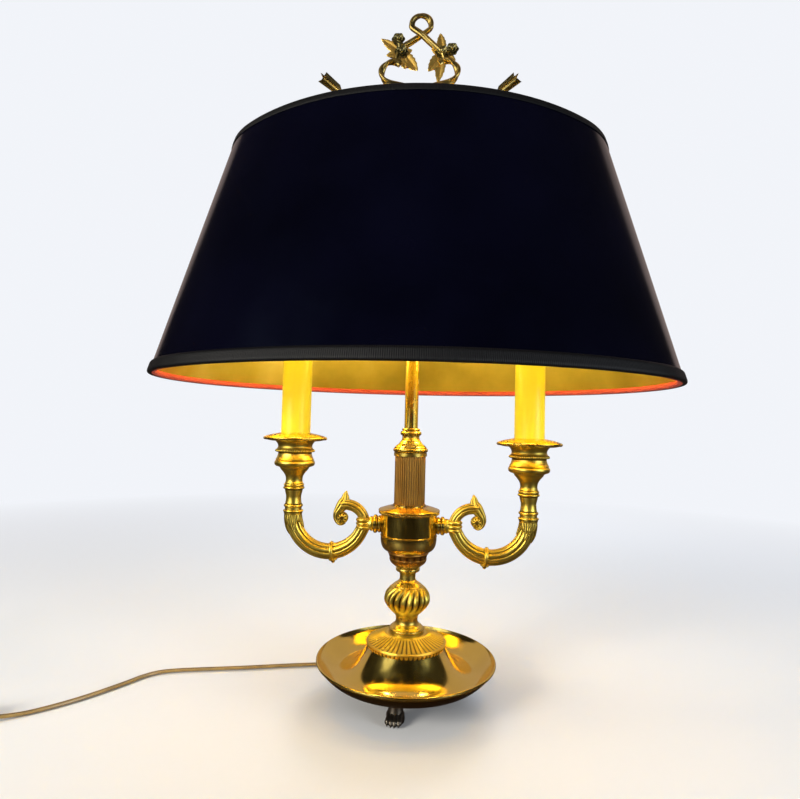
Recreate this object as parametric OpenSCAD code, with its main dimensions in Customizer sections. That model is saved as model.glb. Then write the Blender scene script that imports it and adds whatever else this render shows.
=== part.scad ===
// Two-light bouillotte table lamp with an oval shade that slides and turns on its rod.
// Millimetres. The lamp's axis is Z, its two arms lie along X, and it stands on z = 0.

/* [Dish and feet] */
// Radius of the dish over its rolled rim
dish_r = 77.6; // [68:0.2:90]
// Height of the rim above the lowest part of the dish
dish_rim_h = 13.8; // [8:0.1:20]
// Thickness of the dish's sheet brass
dish_sheet = 1.5; // [1:0.1:2.2]
// Radius of the ring where the dish is lowest
trough_r = 58; // [52:1:62]
// Radius of the flat top of the dish's raised boss
boss_r = 33; // [30:1:38]
// Height of the boss above the lowest part of the dish
boss_h = 23; // [18:0.5:28]
// Height of the dish's underside above the table
foot_h = 20; // [16:0.5:26]
// Distance of each paw's middle from the lamp's axis, as a share of the dish's radius
foot_share = 0.58; // [0.53:0.01:0.64]
// Width across the toes of a paw
paw_w = 17; // [13:0.5:20]
// Direction of the front paw, seen from above
front_paw_angle = 263; // [255:1:285]
// Depth of the cast-iron weight ring in the boss
weight_h = 14; // [8:1:16]

/* [Stem] */
// Radius of the threaded tube that clamps the stem together
tube_r = 5; // [4:0.1:5.6]
// Wall of the threaded tube
tube_wall = 1; // [0.8:0.1:1.6]
// Radius of the fluted collar over its rim
collar_r = 34.8; // [31:0.2:40]
// Height of the fluted collar
collar_h = 11.3; // [9:0.2:18]
// Number of flutes round the collar
collar_flutes = 48; // [36:2:56]
// Radius of the stem foot's flare
flare_r = 15.4; // [13:0.2:18]
// Height of the stem foot
stem_foot_h = 17.1; // [14:0.1:24]
// Greatest radius of the gadrooned knop
knop_r = 20.4; // [17:0.2:25]
// Height of the gadrooned knop
knop_h = 24.7; // [20:0.1:32]
// Number of gadroons round the knop
gadroons = 20; // [14:1:24]
// Depth of the grooves between gadroons
gadroon_depth = 1.5; // [0.8:0.1:2.2]
// Height of the knop's plain cap
knop_cap_h = 5.6; // [4:0.1:9]
// Height of the waisted neck above the cap
neck_h = 13.4; // [10:0.2:20]
// Narrowest radius of the neck
neck_r = 6.4; // [6.2:0.1:8]
// Height of the leaf cup under the drum
leaf_cup_h = 10.9; // [7:0.1:14]
// Radius of the leaf cup at its top
leaf_cup_r = 18; // [16:0.2:21]

/* [Drum and column] */
// Radius of the drum
drum_r = 24.6; // [22:0.2:28]
// Wall of the drum
drum_wall = 1.8; // [1.4:0.1:2.4]
// Height of the drum's turned bowl
bowl_h = 14.5; // [11:0.1:18]
// Height of the drum's straight body
drum_h = 18.2; // [17:0.1:26]
// How far the lid stands out past the drum
lid_lip = 2.5; // [1.5:0.1:4]
// Height of the lid
lid_h = 8; // [7:0.2:14]
// Radius of the reeded column
column_r = 13.6; // [12:0.2:16]
// Height of the reeded column
column_h = 42.5; // [30:0.5:60]
// Number of fine reeds round the column
column_reeds = 40; // [28:2:48]
// Height of the column's cap
cap_h = 24.5; // [20:0.5:32]

/* [Rod and shade carrier] */
// Radius of the rod
rod_r = 6; // [5.8:0.1:7]
// Height of the rod's top above the table
rod_top = 470; // [462:1:490]
// Running gap between the rod and the sliding carrier
slide_gap = 0.06; // [0.03:0.01:0.1]
// Length of the sliding carrier
carrier_h = 37; // [32:1:44]
// Distance from the rod's top down to the spider's hub
hub_drop = 33; // [31:1:40]
// Radius of the carrier's flange
flange_r = 15; // [14:0.5:18]
// Radius of the clamp key's shank
key_r = 2; // [1.6:0.1:2.6]

/* [Shade] */
// Half length of the shade's top opening
shade_top_a = 165; // [150:1:180]
// Half width of the shade's top opening
shade_top_b = 118; // [105:1:125]
// How far the shade spreads outwards from top to bottom
shade_spread = 58.6; // [40:1:75]
// Height of the shade between its edges
shade_h = 201.2; // [180:1:215]
// Height of the shade's top edge above the rod's top
shade_above_rod = 4.4; // [2:0.1:8]
// Thickness of the laminated card
card = 1.2; // [0.8:0.1:2]
// Width of the top edge's tape
top_tape_h = 5; // [4:0.2:9]
// Width of the bottom edge's tape
bottom_tape_h = 8.6; // [6:0.2:14]
// How far the bottom tape stands out
bottom_tape_t = 2.2; // [1.6:0.1:4]
// Radius of the shade's wire frame
wire_r = 1.6; // [1.2:0.1:2]

/* [Arms] */
// Distance from the lamp's axis to each candle
arm_reach = 104; // [100:0.5:112]
// Distance from the lamp's axis to the arm's binding
binding_x = 39.6; // [38:0.2:42]
// Radius of an arm over its reeds
arm_r = 7; // [6.4:0.1:7.4]
// Number of reeds round an arm
arm_reeds = 8; // [6:1:10]
// Radius of the arm's inner scroll
scroll_r = 17.4; // [16:0.2:19]
// Radius of the scroll's strand over its reeds
scroll_strand_r = 5; // [4.4:0.1:5.6]
// Radius of the ball in the volute
volute_ball_r = 4.8; // [4.4:0.1:6]
// Radius of the wire bore through an arm
arm_bore_r = 2.8; // [2.2:0.1:3.2]

/* [Candles] */
// Height of the turned stem under a candle cup
cup_stem_h = 38.5; // [32:0.5:46]
// Greatest radius of a candle cup
cup_r = 18; // [17:0.2:20]
// Height of a candle cup
cup_h = 25.5; // [22:0.5:32]
// Radius of a drip pan
pan_r = 28.3; // [24:0.5:34]
// Height of a drip pan's dome above its cup
pan_h = 3.6; // [2.6:0.1:5]
// Radius of a candle sleeve
sleeve_r = 13; // [12.8:0.1:14]
// Height of a candle sleeve
sleeve_h = 86; // [70:1:100]
// Wall of a candle sleeve
sleeve_wall = 0.8; // [0.6:0.1:1]
// Radius of a lampholder's body
holder_r = 11.4; // [10.8:0.1:11.6]
// Greatest radius of a candle bulb
bulb_r = 17.5; // [15:0.5:19]
// Height of a bulb's glass above its holder
bulb_glass_h = 75; // [60:1:82]

/* [Finial] */
// Height of the turned finial stem above the rod's top
finial_stem_h = 71; // [66:1:76]
// Radius of the finial stem's ball, which the arrows pass through
finial_ball_r = 9; // [8:0.2:10]
// Radius of an arrow's shaft
arrow_r = 2.2; // [1.8:0.1:2.6]
// Rise of the arrows from the level, in degrees
arrow_rise = 40; // [36:1:44]
// Distance from the crossing to an arrow's nock
arrow_nock = 117; // [108:1:122]
// Radius of the bow's loop, at the middle of its strand
loop_r = 8.5; // [7.5:0.1:9.5]
// Width of the bow's strand
ribbon_w = 5.4; // [4.4:0.1:6]

/* [Switch and plug] */
// Length of the cord switch
switch_l = 58; // [52:1:66]
// Width of the cord switch
switch_w = 24; // [20:1:28]
// Height of the cord switch
switch_h = 17; // [15:0.5:20]
// Tilt of the rocker to each side, in degrees
rocker_tilt = 8; // [5:1:10]
// Length of the plug's body
plug_l = 34; // [30:1:40]
// Width of the plug's body at its pins
plug_w = 33; // [30:1:36]
// Thickness of the plug's body
plug_t = 13.6; // [12:0.2:15]

/* [Hidden] */
$fn = 72;

// Clearance of a piece that is threaded or slipped on and stays put
seat_gap = 0.1;
// Clearance between pieces that turn against each other
turn_gap = 0.06;
// Clearance between pieces that pass without touching
air_gap = 0.4;
// Longer than anything in the lamp, for half-space cuts
reach = 1000;

// Heights of the stacked pieces
foot_ring_r = foot_share * dish_r;
dish_floor_z = foot_h + dish_sheet;
boss_z = dish_floor_z + boss_h;
collar_seat = 2.2;
stem_foot_z = boss_z + collar_h - collar_seat;
knop_z = stem_foot_z + stem_foot_h;
knop_cap_z = knop_z + knop_h;
knop_foot_r = 0.5 * knop_r;
knop_cap_r = 0.65 * knop_r;
neck_z = knop_cap_z + knop_cap_h;
leaf_cup_z = neck_z + neck_h;
bowl_z = leaf_cup_z + leaf_cup_h;
drum_z = bowl_z + bowl_h;
lid_z = drum_z + drum_h;
column_z = lid_z + lid_h;
cap_z = column_z + column_h;
rod_z = cap_z + cap_h;

// Threaded tube, nuts and washer
nut_h = 4;
nut_flat = 14;
washer_h = 1.5;
washer_r = 13;
bowl_floor = 3;
bore_r = tube_r + seat_gap;
tube_bore_r = tube_r - tube_wall;
tube_z0 = boss_z - dish_sheet - washer_h - nut_h - 1;
tube_z1 = bowl_z + bowl_floor + nut_h + 1.5;

// Drum
drum_in_r = drum_r - drum_wall;
spigot_h = 2.5;
spindle_z = drum_z + 8.2;
nipple_r = 4;
rod_tail_z = lid_z - nut_h - 1;
block_z = tube_z1 + 4;
block_h = rod_tail_z - block_z - 2;

// Arms: the bend runs from under the binding round to the candle
bend_sweep = 150;
bend_lead = 4;
bend_drop = 9.6;
bend_r = (arm_reach - binding_x - bend_lead) / (1 + cos(180 - bend_sweep));
bend_x = arm_reach - bend_r;
bend_z = spindle_z - bend_drop + bend_r * sin(180 - bend_sweep);
arm_head_h = 3.5;
arm_head_z = bend_z + arm_head_h;
arm_boss_x = binding_x - 7.8;
knee = [binding_x, spindle_z];
entry = [binding_x + bend_lead, spindle_z - bend_drop];
slant = (entry - knee) / norm(entry - knee);
run_in = 1.5;
scroll_start = 163;
scroll_end = 80;
scroll_x = binding_x - scroll_r * cos(scroll_start);
scroll_z = spindle_z + 3.6 - scroll_r * sin(scroll_start);
volute_x = scroll_x + 3;
volute_z = spindle_z + 4.4;
// Volute leaf: its spine from tip to curl, measured from the ball, with its depths and widths
volute_spine = [
    [-3, 23.6], [-2.3, 20.1], [-2, 16.4], [-0.4, 12.6], [2, 8.6],
    [4.8, 4.6], [5.8, 0.4], [4.4, -3.6], [1.2, -5.8], [-2.4, -4.8]
];
volute_depths = [1, 3, 5.6, 9, 11, 11.4, 10.6, 9.4, 7.6, 5];
volute_widths = [1.2, 3.6, 5.2, 7, 8, 6.2, 4.6, 4, 2.8, 1.6];

// Candles
cup_stem_z = arm_head_z;
cup_z = cup_stem_z + cup_stem_h;
pan_z = cup_z + cup_h;
sleeve_z = pan_z + pan_h;
holder_top_z = sleeve_z + sleeve_h - 3;
shank_depth = 7.5;
cap_r = 7;
cap_h_in = 25;

// Rod, carrier and spider hub
hub_h = 2;
hub_z = rod_top - hub_drop;
carrier_neck_r = rod_r + 2;
carrier_top_z = hub_z + 8;
carrier_z = carrier_top_z - carrier_h;
flange_h = 3;
key_z = carrier_z + 11;
key_boss_y = 13.5;

// Shade: four arcs draw the oval, and both edges share their centres
shade_top_z = rod_top + shade_above_rod;
shade_z = shade_top_z - shade_h;
oval_end_r = 0.76 * shade_top_b;
oval_end_x = shade_top_a - oval_end_r;
oval_side_r = (oval_end_x * oval_end_x + shade_top_b * shade_top_b - oval_end_r * oval_end_r)
    / (2 * (shade_top_b - oval_end_r));
oval_side_y = oval_side_r - shade_top_b;
oval_side_half = atan(oval_end_x / oval_side_y);
oval_end_half = 90 - oval_side_half;
tape_t = 0.7;
top_ring_z = shade_top_z - 6.5;
bottom_wire_r = wire_r - 0.2;
bottom_ring_z = shade_z + bottom_wire_r + 0.3;
function spread_at(z) = shade_spread * (shade_top_z - z) / shade_h;
bottom_ring_x = spread_at(bottom_ring_z) - card - bottom_wire_r - 2 * seat_gap;

// Finial
finial_seat = 8;
finial_z = rod_top - finial_seat;
cross_z = rod_top + 10;
arrow_head = 32;
bow_z = rod_top + finial_stem_h;
loop_z = bow_z + 65;
// Rose sprays: the knot, the rose and the leaf tips of each
left_knot = [-19, bow_z + 37];
left_rose = [-20, bow_z + 47.5];
left_leaf_tips = [[-36, bow_z + 51], [-1.6, bow_z + 21], [-13, bow_z + 21.5]];
right_knot = [20.5, bow_z + 36];
right_rose = [29.5, bow_z + 38.5];
right_leaf_tips = [[19.6, bow_z + 54.5], [8, bow_z + 19.5], [17, bow_z + 8]];

// Cord: a flat twin flex, its route and the pieces on it
cord_w = 4.5;
cord_t = 2.6;
cord_lift = 0.6;
cord_mid = cord_lift + cord_t / 2;
cord_start = [
    [0, 0, tube_z0], [0, 0.1, 29], [0, 0.2, 23], [-0.4, 1.3, 15]
];
cord_route = [
    [-0.4, 1.3, 15], [-1, 3.7, 10.5], [-2, 7.4, 6.5], [-3.4, 12.7, 3.2],
    [-5.2, 19.3, cord_mid], [-9, 32, cord_mid], [-17, 44, cord_mid], [-30, 53, cord_mid],
    [-47, 57, cord_mid], [-66, 55.5, cord_mid], [-88, 51, cord_mid], [-105, 47.5, cord_mid],
    [-128, 42, cord_mid], [-150, 36.5, cord_mid], [-172, 31.5, cord_mid],
    [-195, 26.5, cord_mid], [-214, 22, cord_mid], [-229, 16, cord_mid],
    [-239, 6, cord_mid], [-246, -6, cord_mid], [-253, -17, cord_mid],
    [-261, -29, cord_mid], [-271, -42, cord_mid], [-283, -55, cord_mid],
    [-297, -67, cord_mid], [-311, -76, 3], [-323, -81.5, 5]
];
switch_heading = 200;
switch_x = -350.5;
switch_y = -91.5;
cord_link = [
    [-378, -101.5, 5], [-386, -106, 3], [-392, -114, cord_mid], [-397, -124, cord_mid],
    [-400.5, -136, cord_mid], [-401.6, -148, cord_mid]
];
coil_x = -370;
coil_y = -148;
coil_r = 27;
coil_w = 14;
coil_h = 8;
plug_x = -336;
plug_y = -179.6;
cord_tail = [
    [-370, plug_y, 6.6], [-358, plug_y, plug_t / 2], [-346, plug_y, plug_t / 2], [plug_x, plug_y, plug_t / 2]
];
pin_r = 2;
pin_l = 19;
pin_pitch = 18.6;

// ---- Shared shapes ----

// Half profile drawn by the children, turned round the axis and bored through
module turned(bore) {
    rotate_extrude() intersection() {
        children();
        translate([bore, -reach]) square([reach, 2 * reach]);
    }
}

// Half-round bead of outer radius r that fills the height from z to z + h
module bead(r, z, h) {
    translate([r - h / 2, z + h / 2]) circle(h / 2);
    translate([0, z]) square([r - h / 2, h]);
}

// Plain band, or a cone when the upper radius differs
module band(r, z, h, r_top) {
    polygon([[0, z], [r, z], [is_undef(r_top) ? r : r_top, z + h], [0, z + h]]);
}

// Section of a reeded strand: beads set round a core
module reeded_section(r, reeds) {
    bead_r = 0.3 * r;
    circle(0.78 * r);
    for (i = [0 : reeds - 1]) rotate((i + 0.5) * 360 / reeds)
        translate([r - bead_r, 0]) circle(bead_r);
}

// Carries a section round part of a circle that stands in the XZ plane
module in_plane_arc(x, z, r, from, sweep) {
    translate([x, 0, z]) rotate([90, 0, 0]) rotate(from)
        rotate_extrude(angle = sweep) translate([r, 0]) children();
}

// Round bar between two points of the XZ plane
module bar(p, q, r, r_end) {
    d = [q[0] - p[0], q[1] - p[1]];
    translate([p[0], 0, p[1]]) rotate([0, atan2(d[0], d[1]), 0])
        cylinder(h = norm(d), r1 = r, r2 = is_undef(r_end) ? r : r_end);
}

// Flat strip with round edges, for sweeping: w across, t thick
module strip_section(w, t) {
    square([t, w - t], center = true);
    for (s = [-1, 1]) translate([0, s * (w - t) / 2]) circle(t / 2);
}

function unit(v) = v / norm(v);
function heading_side(d) = unit([-d[1], d[0], 0]);
function step_dir(p, i) = p[min(i + 1, len(p) - 1)] - p[max(i - 1, 0)];
function oval_ring(c, d, w, t, sides, side, rib) =
    let (s = is_undef(side) ? heading_side(d) : side, u = unit(cross(d, s)))
    [for (k = [0 : sides - 1]) let (a = 360 * k / sides, g = 1 + rib * cos(8 * a))
        c + g * (s * cos(a) * w / 2 + u * sin(a) * t / 2)];

// Curve through every point of a list, with steps between each two
function smooth(p, steps) = [for (i = [0 : len(p) - 2], k = [0 : steps - 1])
    let (a = p[max(i - 1, 0)], b = p[i], c = p[i + 1], d = p[min(i + 2, len(p) - 1)], t = k / steps)
    b + (c - a) * t / 2 + (2 * a - 5 * b + 4 * c - d) * t * t / 2 + (3 * b - a - 3 * c + d) * t * t * t / 2,
    p[len(p) - 1]];

// Tube swept along points, with its own width and thickness at each. The side is the width's
// direction, level if left out, and the rib is the height of eight ribs along the tube
module swept_tube(p, w, t, sides, side, rib = 0) {
    n = len(p);
    points = [for (i = [0 : n - 1]) each oval_ring(p[i], step_dir(p, i), w[i], t[i], sides, side, rib)];
    walls = [for (i = [0 : n - 2], k = [0 : sides - 1]) let (m = (k + 1) % sides)
        each [[i * sides + k, (i + 1) * sides + k, (i + 1) * sides + m],
              [i * sides + k, (i + 1) * sides + m, i * sides + m]]];
    ends = [[for (k = [0 : sides - 1]) k],
            [for (k = [sides - 1 : -1 : 0]) (n - 1) * sides + k]];
    polyhedron(points, concat(walls, ends));
}

// ---- Dish and feet ----

// Height of the dish's upper face at radius r
function dish_face(r) = r <= boss_r ? boss_z
    : r <= trough_r ? dish_floor_z + boss_h * (1 + cos(180 * (r - boss_r) / (trough_r - boss_r))) / 2
    : dish_floor_z + dish_rim_h * pow((r - trough_r) / (dish_r - trough_r), 1.7);

dish_steps = 9;
dish_line = concat(
    [for (i = [0 : dish_steps]) let (r = boss_r + i * (trough_r - boss_r) / dish_steps) [r, dish_face(r)]],
    [for (i = [1 : 5]) let (r = trough_r + i * (dish_r - 1 - trough_r) / 5) [r, dish_face(r)]]
);

// Everything below the dish's underside
module under_dish() {
    low = [for (p = dish_line) p - [0, dish_sheet]];
    rotate_extrude() polygon(concat([[0, 0], [0, boss_z - dish_sheet]], low, [[dish_r - 1, 0]]));
}

module base_dish() {
    n = len(dish_line);
    rim = dish_line[n - 1];
    roll = [for (a = [100 : -35 : -75]) rim + [1.2 * cos(a) - 0.2, 1.2 * sin(a) - 0.3]];
    color("goldenrod") turned(bore_r) polygon(concat(
        [[0, boss_z]], [for (i = [0 : n - 2]) dish_line[i]], roll,
        [for (i = [n - 2 : -1 : 0]) dish_line[i] - [0, dish_sheet]], [[0, boss_z - dish_sheet]]));
}

// Cast lion's paw: four toes with claws, a pad and a leg that meets the dish
module paw_foot(angle) {
    toe_r = 0.19 * paw_w;
    pitch = (paw_w - 2 * toe_r) / 3;
    color("#5a3f26") intersection() {
        under_dish();
        rotate(angle) translate([foot_ring_r, 0, 0]) {
            for (k = [-1.5 : 1 : 1.5]) translate([0, k * pitch, 0]) {
                lead = 7.5 - abs(k) * 1.2;
                translate([lead, 0, 2.8]) sphere(toe_r);
                translate([-4, 0, 4.4]) rotate([0, 90, 0]) cylinder(h = lead + 2, r = toe_r * 0.86);
                translate([lead - 2.5, 0, 5]) sphere(toe_r * 0.94);
                translate([lead + 2, 0, 2.6]) rotate([0, 125, 0]) cylinder(h = 3, r1 = 1.1, r2 = 0.4);
            }
            translate([-3, 0, 0]) cylinder(h = 6, r = 0.44 * paw_w);
            translate([-3, 0, 5]) cylinder(h = 9, r1 = 0.4 * paw_w, r2 = 5.4);
            translate([-3, 0, 13]) cylinder(h = reach / 20, r = 5.4);
            translate([-3, 0, 15]) rotate_extrude() bead(7, 0, 3);
        }
    }
}

module base_weight() {
    color("dimgray") translate([0, 0, boss_z - dish_sheet - weight_h])
        difference() {
            cylinder(h = weight_h, r = boss_r - 2);
            translate([0, 0, -1]) cylinder(h = weight_h + 2, r = washer_r + 1.5);
        }
}

module base_washer() {
    color("silver") translate([0, 0, boss_z - dish_sheet - washer_h]) difference() {
        cylinder(h = washer_h, r = washer_r);
        translate([0, 0, -1]) cylinder(h = washer_h + 2, r = bore_r);
    }
}

// Thin hexagon nuts: under the dish, on the bowl's floor and under the lid
module stem_nuts() {
    for (z = [boss_z - dish_sheet - washer_h - nut_h, bowl_z + bowl_floor, lid_z - nut_h])
        color("silver") translate([0, 0, z]) difference() {
            cylinder(h = nut_h, r = nut_flat / sqrt(3), $fn = 6);
            translate([0, 0, -1]) cylinder(h = nut_h + 2, r = bore_r);
        }
}

module stem_tube() {
    color("silver") translate([0, 0, tube_z0]) difference() {
        cylinder(h = tube_z1 - tube_z0, r = tube_r);
        translate([0, 0, -1]) cylinder(h = tube_z1 - tube_z0 + 2, r = tube_bore_r);
    }
}

// ---- Stem ----

module fluted_collar() {
    seat_r = flare_r - 0.4;
    neck = seat_r + 1.2;
    rim_z = 3.1;
    slope = atan2(collar_h - rim_z - 1.6, collar_r - 1 - neck);
    run = (collar_r - 2.2 - neck) / cos(slope);
    color("gold") translate([0, 0, boss_z]) difference() {
        turned(bore_r) {
            band(collar_r - 1.4, 0, rim_z);
            bead(collar_r, rim_z - 0.6, 1.8);
            polygon([[0, rim_z], [collar_r - 0.6, rim_z], [collar_r - 1, rim_z + 1.2],
                [neck + 2, collar_h - 0.8], [neck, collar_h], [0, collar_h]]);
        }
        translate([0, 0, collar_h - collar_seat]) cylinder(h = reach, r = seat_r + seat_gap);
        for (i = [0 : collar_flutes - 1]) rotate(i * 360 / collar_flutes)
            translate([collar_r - 2, 0, rim_z + 2.1]) rotate([0, -90 + slope, 0])
                cylinder(h = run, r1 = 1.25, r2 = 0.62);
    }
}

module stem_foot() {
    h = stem_foot_h;
    color("goldenrod") translate([0, 0, stem_foot_z]) turned(bore_r) {
        waist_r = knop_foot_r - 0.7;
        band(flare_r - 0.4, 0, 4.6);
        bead(flare_r, 4, 2.2);
        polygon([[0, 5], [flare_r - 0.6, 5.6], [flare_r - 2.4, 7.8], [flare_r - 4.4, 9.3],
            [waist_r + 0.4, 10.8], [waist_r, 12.8], [waist_r + 0.3, h - 1.4], [knop_foot_r, h], [0, h]]);
    }
}

// Radius of the knop's smooth form at height z
function knop_line(z) = let (mid = 0.56 * knop_h)
    z < mid ? knop_foot_r + (knop_r - knop_foot_r) * pow(sin(90 * z / mid), 1.05)
    : knop_cap_r + (knop_r - knop_cap_r) * pow(cos(90 * (z - mid) / (knop_h - mid)), 0.7);

module gadrooned_knop() {
    per = 6;
    n = gadroons * per;
    rings = 14;
    swirl = 24;
    points = [for (j = [0 : rings], i = [0 : n - 1])
        let (z = knop_h * (1 - cos(180 * j / rings)) / 2,
             a = 360 * i / n + swirl * z / knop_h,
             groove = gadroon_depth * sin(180 * j / rings) * (1 - abs(sin(gadroons * 180 * i / n))),
             r = knop_line(z) - groove)
        [r * cos(a), r * sin(a), z]];
    walls = [for (j = [0 : rings - 1], i = [0 : n - 1]) let (m = (i + 1) % n)
        each [[j * n + i, (j + 1) * n + i, (j + 1) * n + m], [j * n + i, (j + 1) * n + m, j * n + m]]];
    ends = [[for (i = [0 : n - 1]) i], [for (i = [n - 1 : -1 : 0]) rings * n + i]];
    color("gold") translate([0, 0, knop_z]) difference() {
        polyhedron(points, concat(walls, ends));
        translate([0, 0, -1]) cylinder(h = knop_h + 2, r = bore_r);
    }
}

module knop_cap() {
    h = knop_cap_h;
    color("goldenrod") translate([0, 0, knop_cap_z]) turned(bore_r)
        polygon([[0, 0], [knop_cap_r, 0], [knop_cap_r - 0.7, 0.18 * h], [knop_cap_r - 2.5, 0.42 * h],
            [knop_cap_r - 4.5, 0.66 * h], [neck_r + 0.6, h], [0, h]]);
}

module waisted_neck() {
    h = neck_h;
    color("goldenrod") translate([0, 0, neck_z]) turned(bore_r) {
        polygon([[0, 0], [neck_r + 0.6, 0], [neck_r + 0.5, 0.3 * h], [neck_r + 1, 0.42 * h],
            [neck_r + 2.2, 0.48 * h], [neck_r + 3.2, 0.54 * h], [neck_r + 3.2, h], [0, h]]);
        bead(neck_r + 4.2, 0.5 * h, 0.3 * h);
        bead(neck_r + 5.3, 0.82 * h, 0.18 * h);
    }
}

module leaf_cup() {
    h = leaf_cup_h;
    color("peru") translate([0, 0, leaf_cup_z]) turned(bore_r) {
        polygon([[0, 0], [leaf_cup_r - 5, 0], [leaf_cup_r - 3, 0.2 * h], [leaf_cup_r - 1.9, 0.48 * h],
            [leaf_cup_r - 0.8, 0.84 * h], [leaf_cup_r - 0.8, h], [0, h]]);
        bead(leaf_cup_r, 0.8 * h, 0.2 * h);
    }
}

// ---- Drum, column and cap ----

module drum_bowl() {
    h = bowl_h;
    color("goldenrod") translate([0, 0, bowl_z]) difference() {
        turned(bore_r) {
            polygon([[0, 0], [drum_r - 7, 0], [drum_r - 5, 0.05 * h], [drum_r - 3.1, 0.13 * h],
                [drum_r - 1.5, 0.27 * h], [drum_r - 0.5, 0.46 * h], [drum_r, 0.68 * h], [drum_r, h], [0, h]]);
            band(drum_in_r - seat_gap, h - 1, spigot_h + 1);
            bead(drum_r + 0.4, h - 1.2, 1.2);
        }
        translate([0, 0, bowl_floor]) cylinder(h = reach, r = drum_in_r - 2.2);
    }
}

module drum_body() {
    color("gold") translate([0, 0, drum_z]) difference() {
        cylinder(h = drum_h, r = drum_r);
        translate([0, 0, -1]) cylinder(h = drum_h + 2, r = drum_in_r);
        translate([-reach / 2, 0, spindle_z - drum_z]) rotate([0, 90, 0])
            cylinder(h = reach, r = nipple_r + seat_gap);
    }
}

module drum_lid() {
    h = lid_h;
    r = drum_r + lid_lip;
    color("gold") translate([0, 0, lid_z]) difference() {
        turned(bore_r) {
            bead(r - 0.7, 0, 1.8);
            bead(r, 1.2, 2.6);
            polygon([[0, 0], [r - 1.6, 0], [r - 0.8, 3], [r - 3.2, 4.6], [r - 7, 5.8],
                [column_r + 3, 6.6], [column_r + 0.9, 6.9], [column_r + 0.9, h], [0, h]]);
            band(drum_in_r - seat_gap, -spigot_h, spigot_h + 1);
        }
        translate([0, 0, -reach]) cylinder(h = reach, r = drum_in_r - 2.2);
    }
}

// Insulated block on which the mains lead and the arm wires are joined
module terminal_block() {
    color("ivory") translate([-8, -5, block_z]) difference() {
        cube([16, 10, block_h]);
        for (x = [4, 12]) translate([x, 5, block_h - 3]) cylinder(h = 4, r = 1.4);
    }
}

// Lead up the stem tube, and a wire through each arm to its lampholder
module inner_wires() {
    wire = 1.3;
    thick = wire + 0.2;
    color("white") {
        translate([0, 0, tube_z0 + 1]) cylinder(h = block_z - tube_z0 - 1, r = 2);
        for (s = [0, 1]) mirror([s, 0, 0]) {
            bar([8, spindle_z], knee + [run_in, 0], wire);
            bar(knee - run_in * slant, entry + run_in * slant, thick);
            in_plane_arc(bend_x, bend_z, bend_r, -bend_sweep, bend_sweep) circle(wire);
            bar([arm_reach, bend_z - run_in], [arm_reach, sleeve_z + 30], thick);
        }
    }
}

module reeded_column() {
    reed_r = PI * column_r / column_reeds * 0.98;
    color("goldenrod") translate([0, 0, column_z]) linear_extrude(column_h) difference() {
        union() {
            circle(column_r - reed_r * 0.9);
            for (i = [0 : column_reeds - 1]) rotate(i * 360 / column_reeds)
                translate([column_r - reed_r, 0]) circle(reed_r);
        }
        circle(column_r - 3);
    }
}

module column_cap() {
    h = cap_h;
    r = column_r + 1;
    color("gold") translate([0, 0, cap_z]) turned(bore_r) {
        band(r, 0, 3.6);
        bead(r + 0.8, 3.2, 4.4);
        polygon([[0, 7], [r - 0.4, 7.2], [r - 1.6, 9], [r - 4, 10.8], [rod_r + 3.4, 12.6],
            [rod_r + 2.2, 14], [rod_r + 1.6, 16.4], [rod_r + 1.7, h - 6.2], [rod_r + 1.7, h], [0, h]]);
        bead(rod_r + 3.4, h - 6.4, 4);
        bead(rod_r + 2, h - 2.2, 2.2);
    }
}

// Brass rod, turned down at its foot to pass the cap, column and lid
module shade_rod() {
    color("gold") {
        translate([0, 0, rod_z]) cylinder(h = rod_top - rod_z, r = rod_r);
        translate([0, 0, rod_tail_z]) cylinder(h = rod_z - rod_tail_z + 1, r = tube_r);
    }
}

// ---- Arms and candles, drawn on the right and mirrored to the left ----

// Turned nipple and collar that fix an arm to the drum
module arm_spindle() {
    tip = drum_in_r - 2.4;
    color("gold") difference() {
        union() {
            difference() {
                translate([0, 0, spindle_z]) rotate([0, 90, 0]) rotate_extrude() {
                    band(6, drum_r - 4, arm_boss_x - drum_r + 4);
                    bead(7.6, drum_r - 0.2, 4);
                    bead(8.1, arm_boss_x - 4.4, 4.2);
                }
                cylinder(h = reach, r = drum_r);
            }
            translate([tip, 0, spindle_z]) rotate([0, 90, 0])
                cylinder(h = arm_boss_x + 3 - tip, r = nipple_r);
        }
        translate([0, 0, spindle_z]) rotate([0, 90, 0]) cylinder(h = reach, r = arm_bore_r);
    }
}

// Scroll end: a ribbed leaf that throws up one tip and curls down round a ball
module volute() {
    spine = [for (p = volute_spine) [volute_x + p[0], 0, volute_z + p[1]]];
    swept_tube(smooth(spine, 2), smooth(volute_depths, 2), smooth(volute_widths, 2), 24, [0, 1, 0], 0.05);
    translate([volute_x, 0, volute_z]) sphere(volute_ball_r);
    translate([volute_x, 0, volute_z]) rotate([90, 0, 0])
        cylinder(h = 2 * volute_ball_r + 1.2, r = 1.5, center = true);
}

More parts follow.
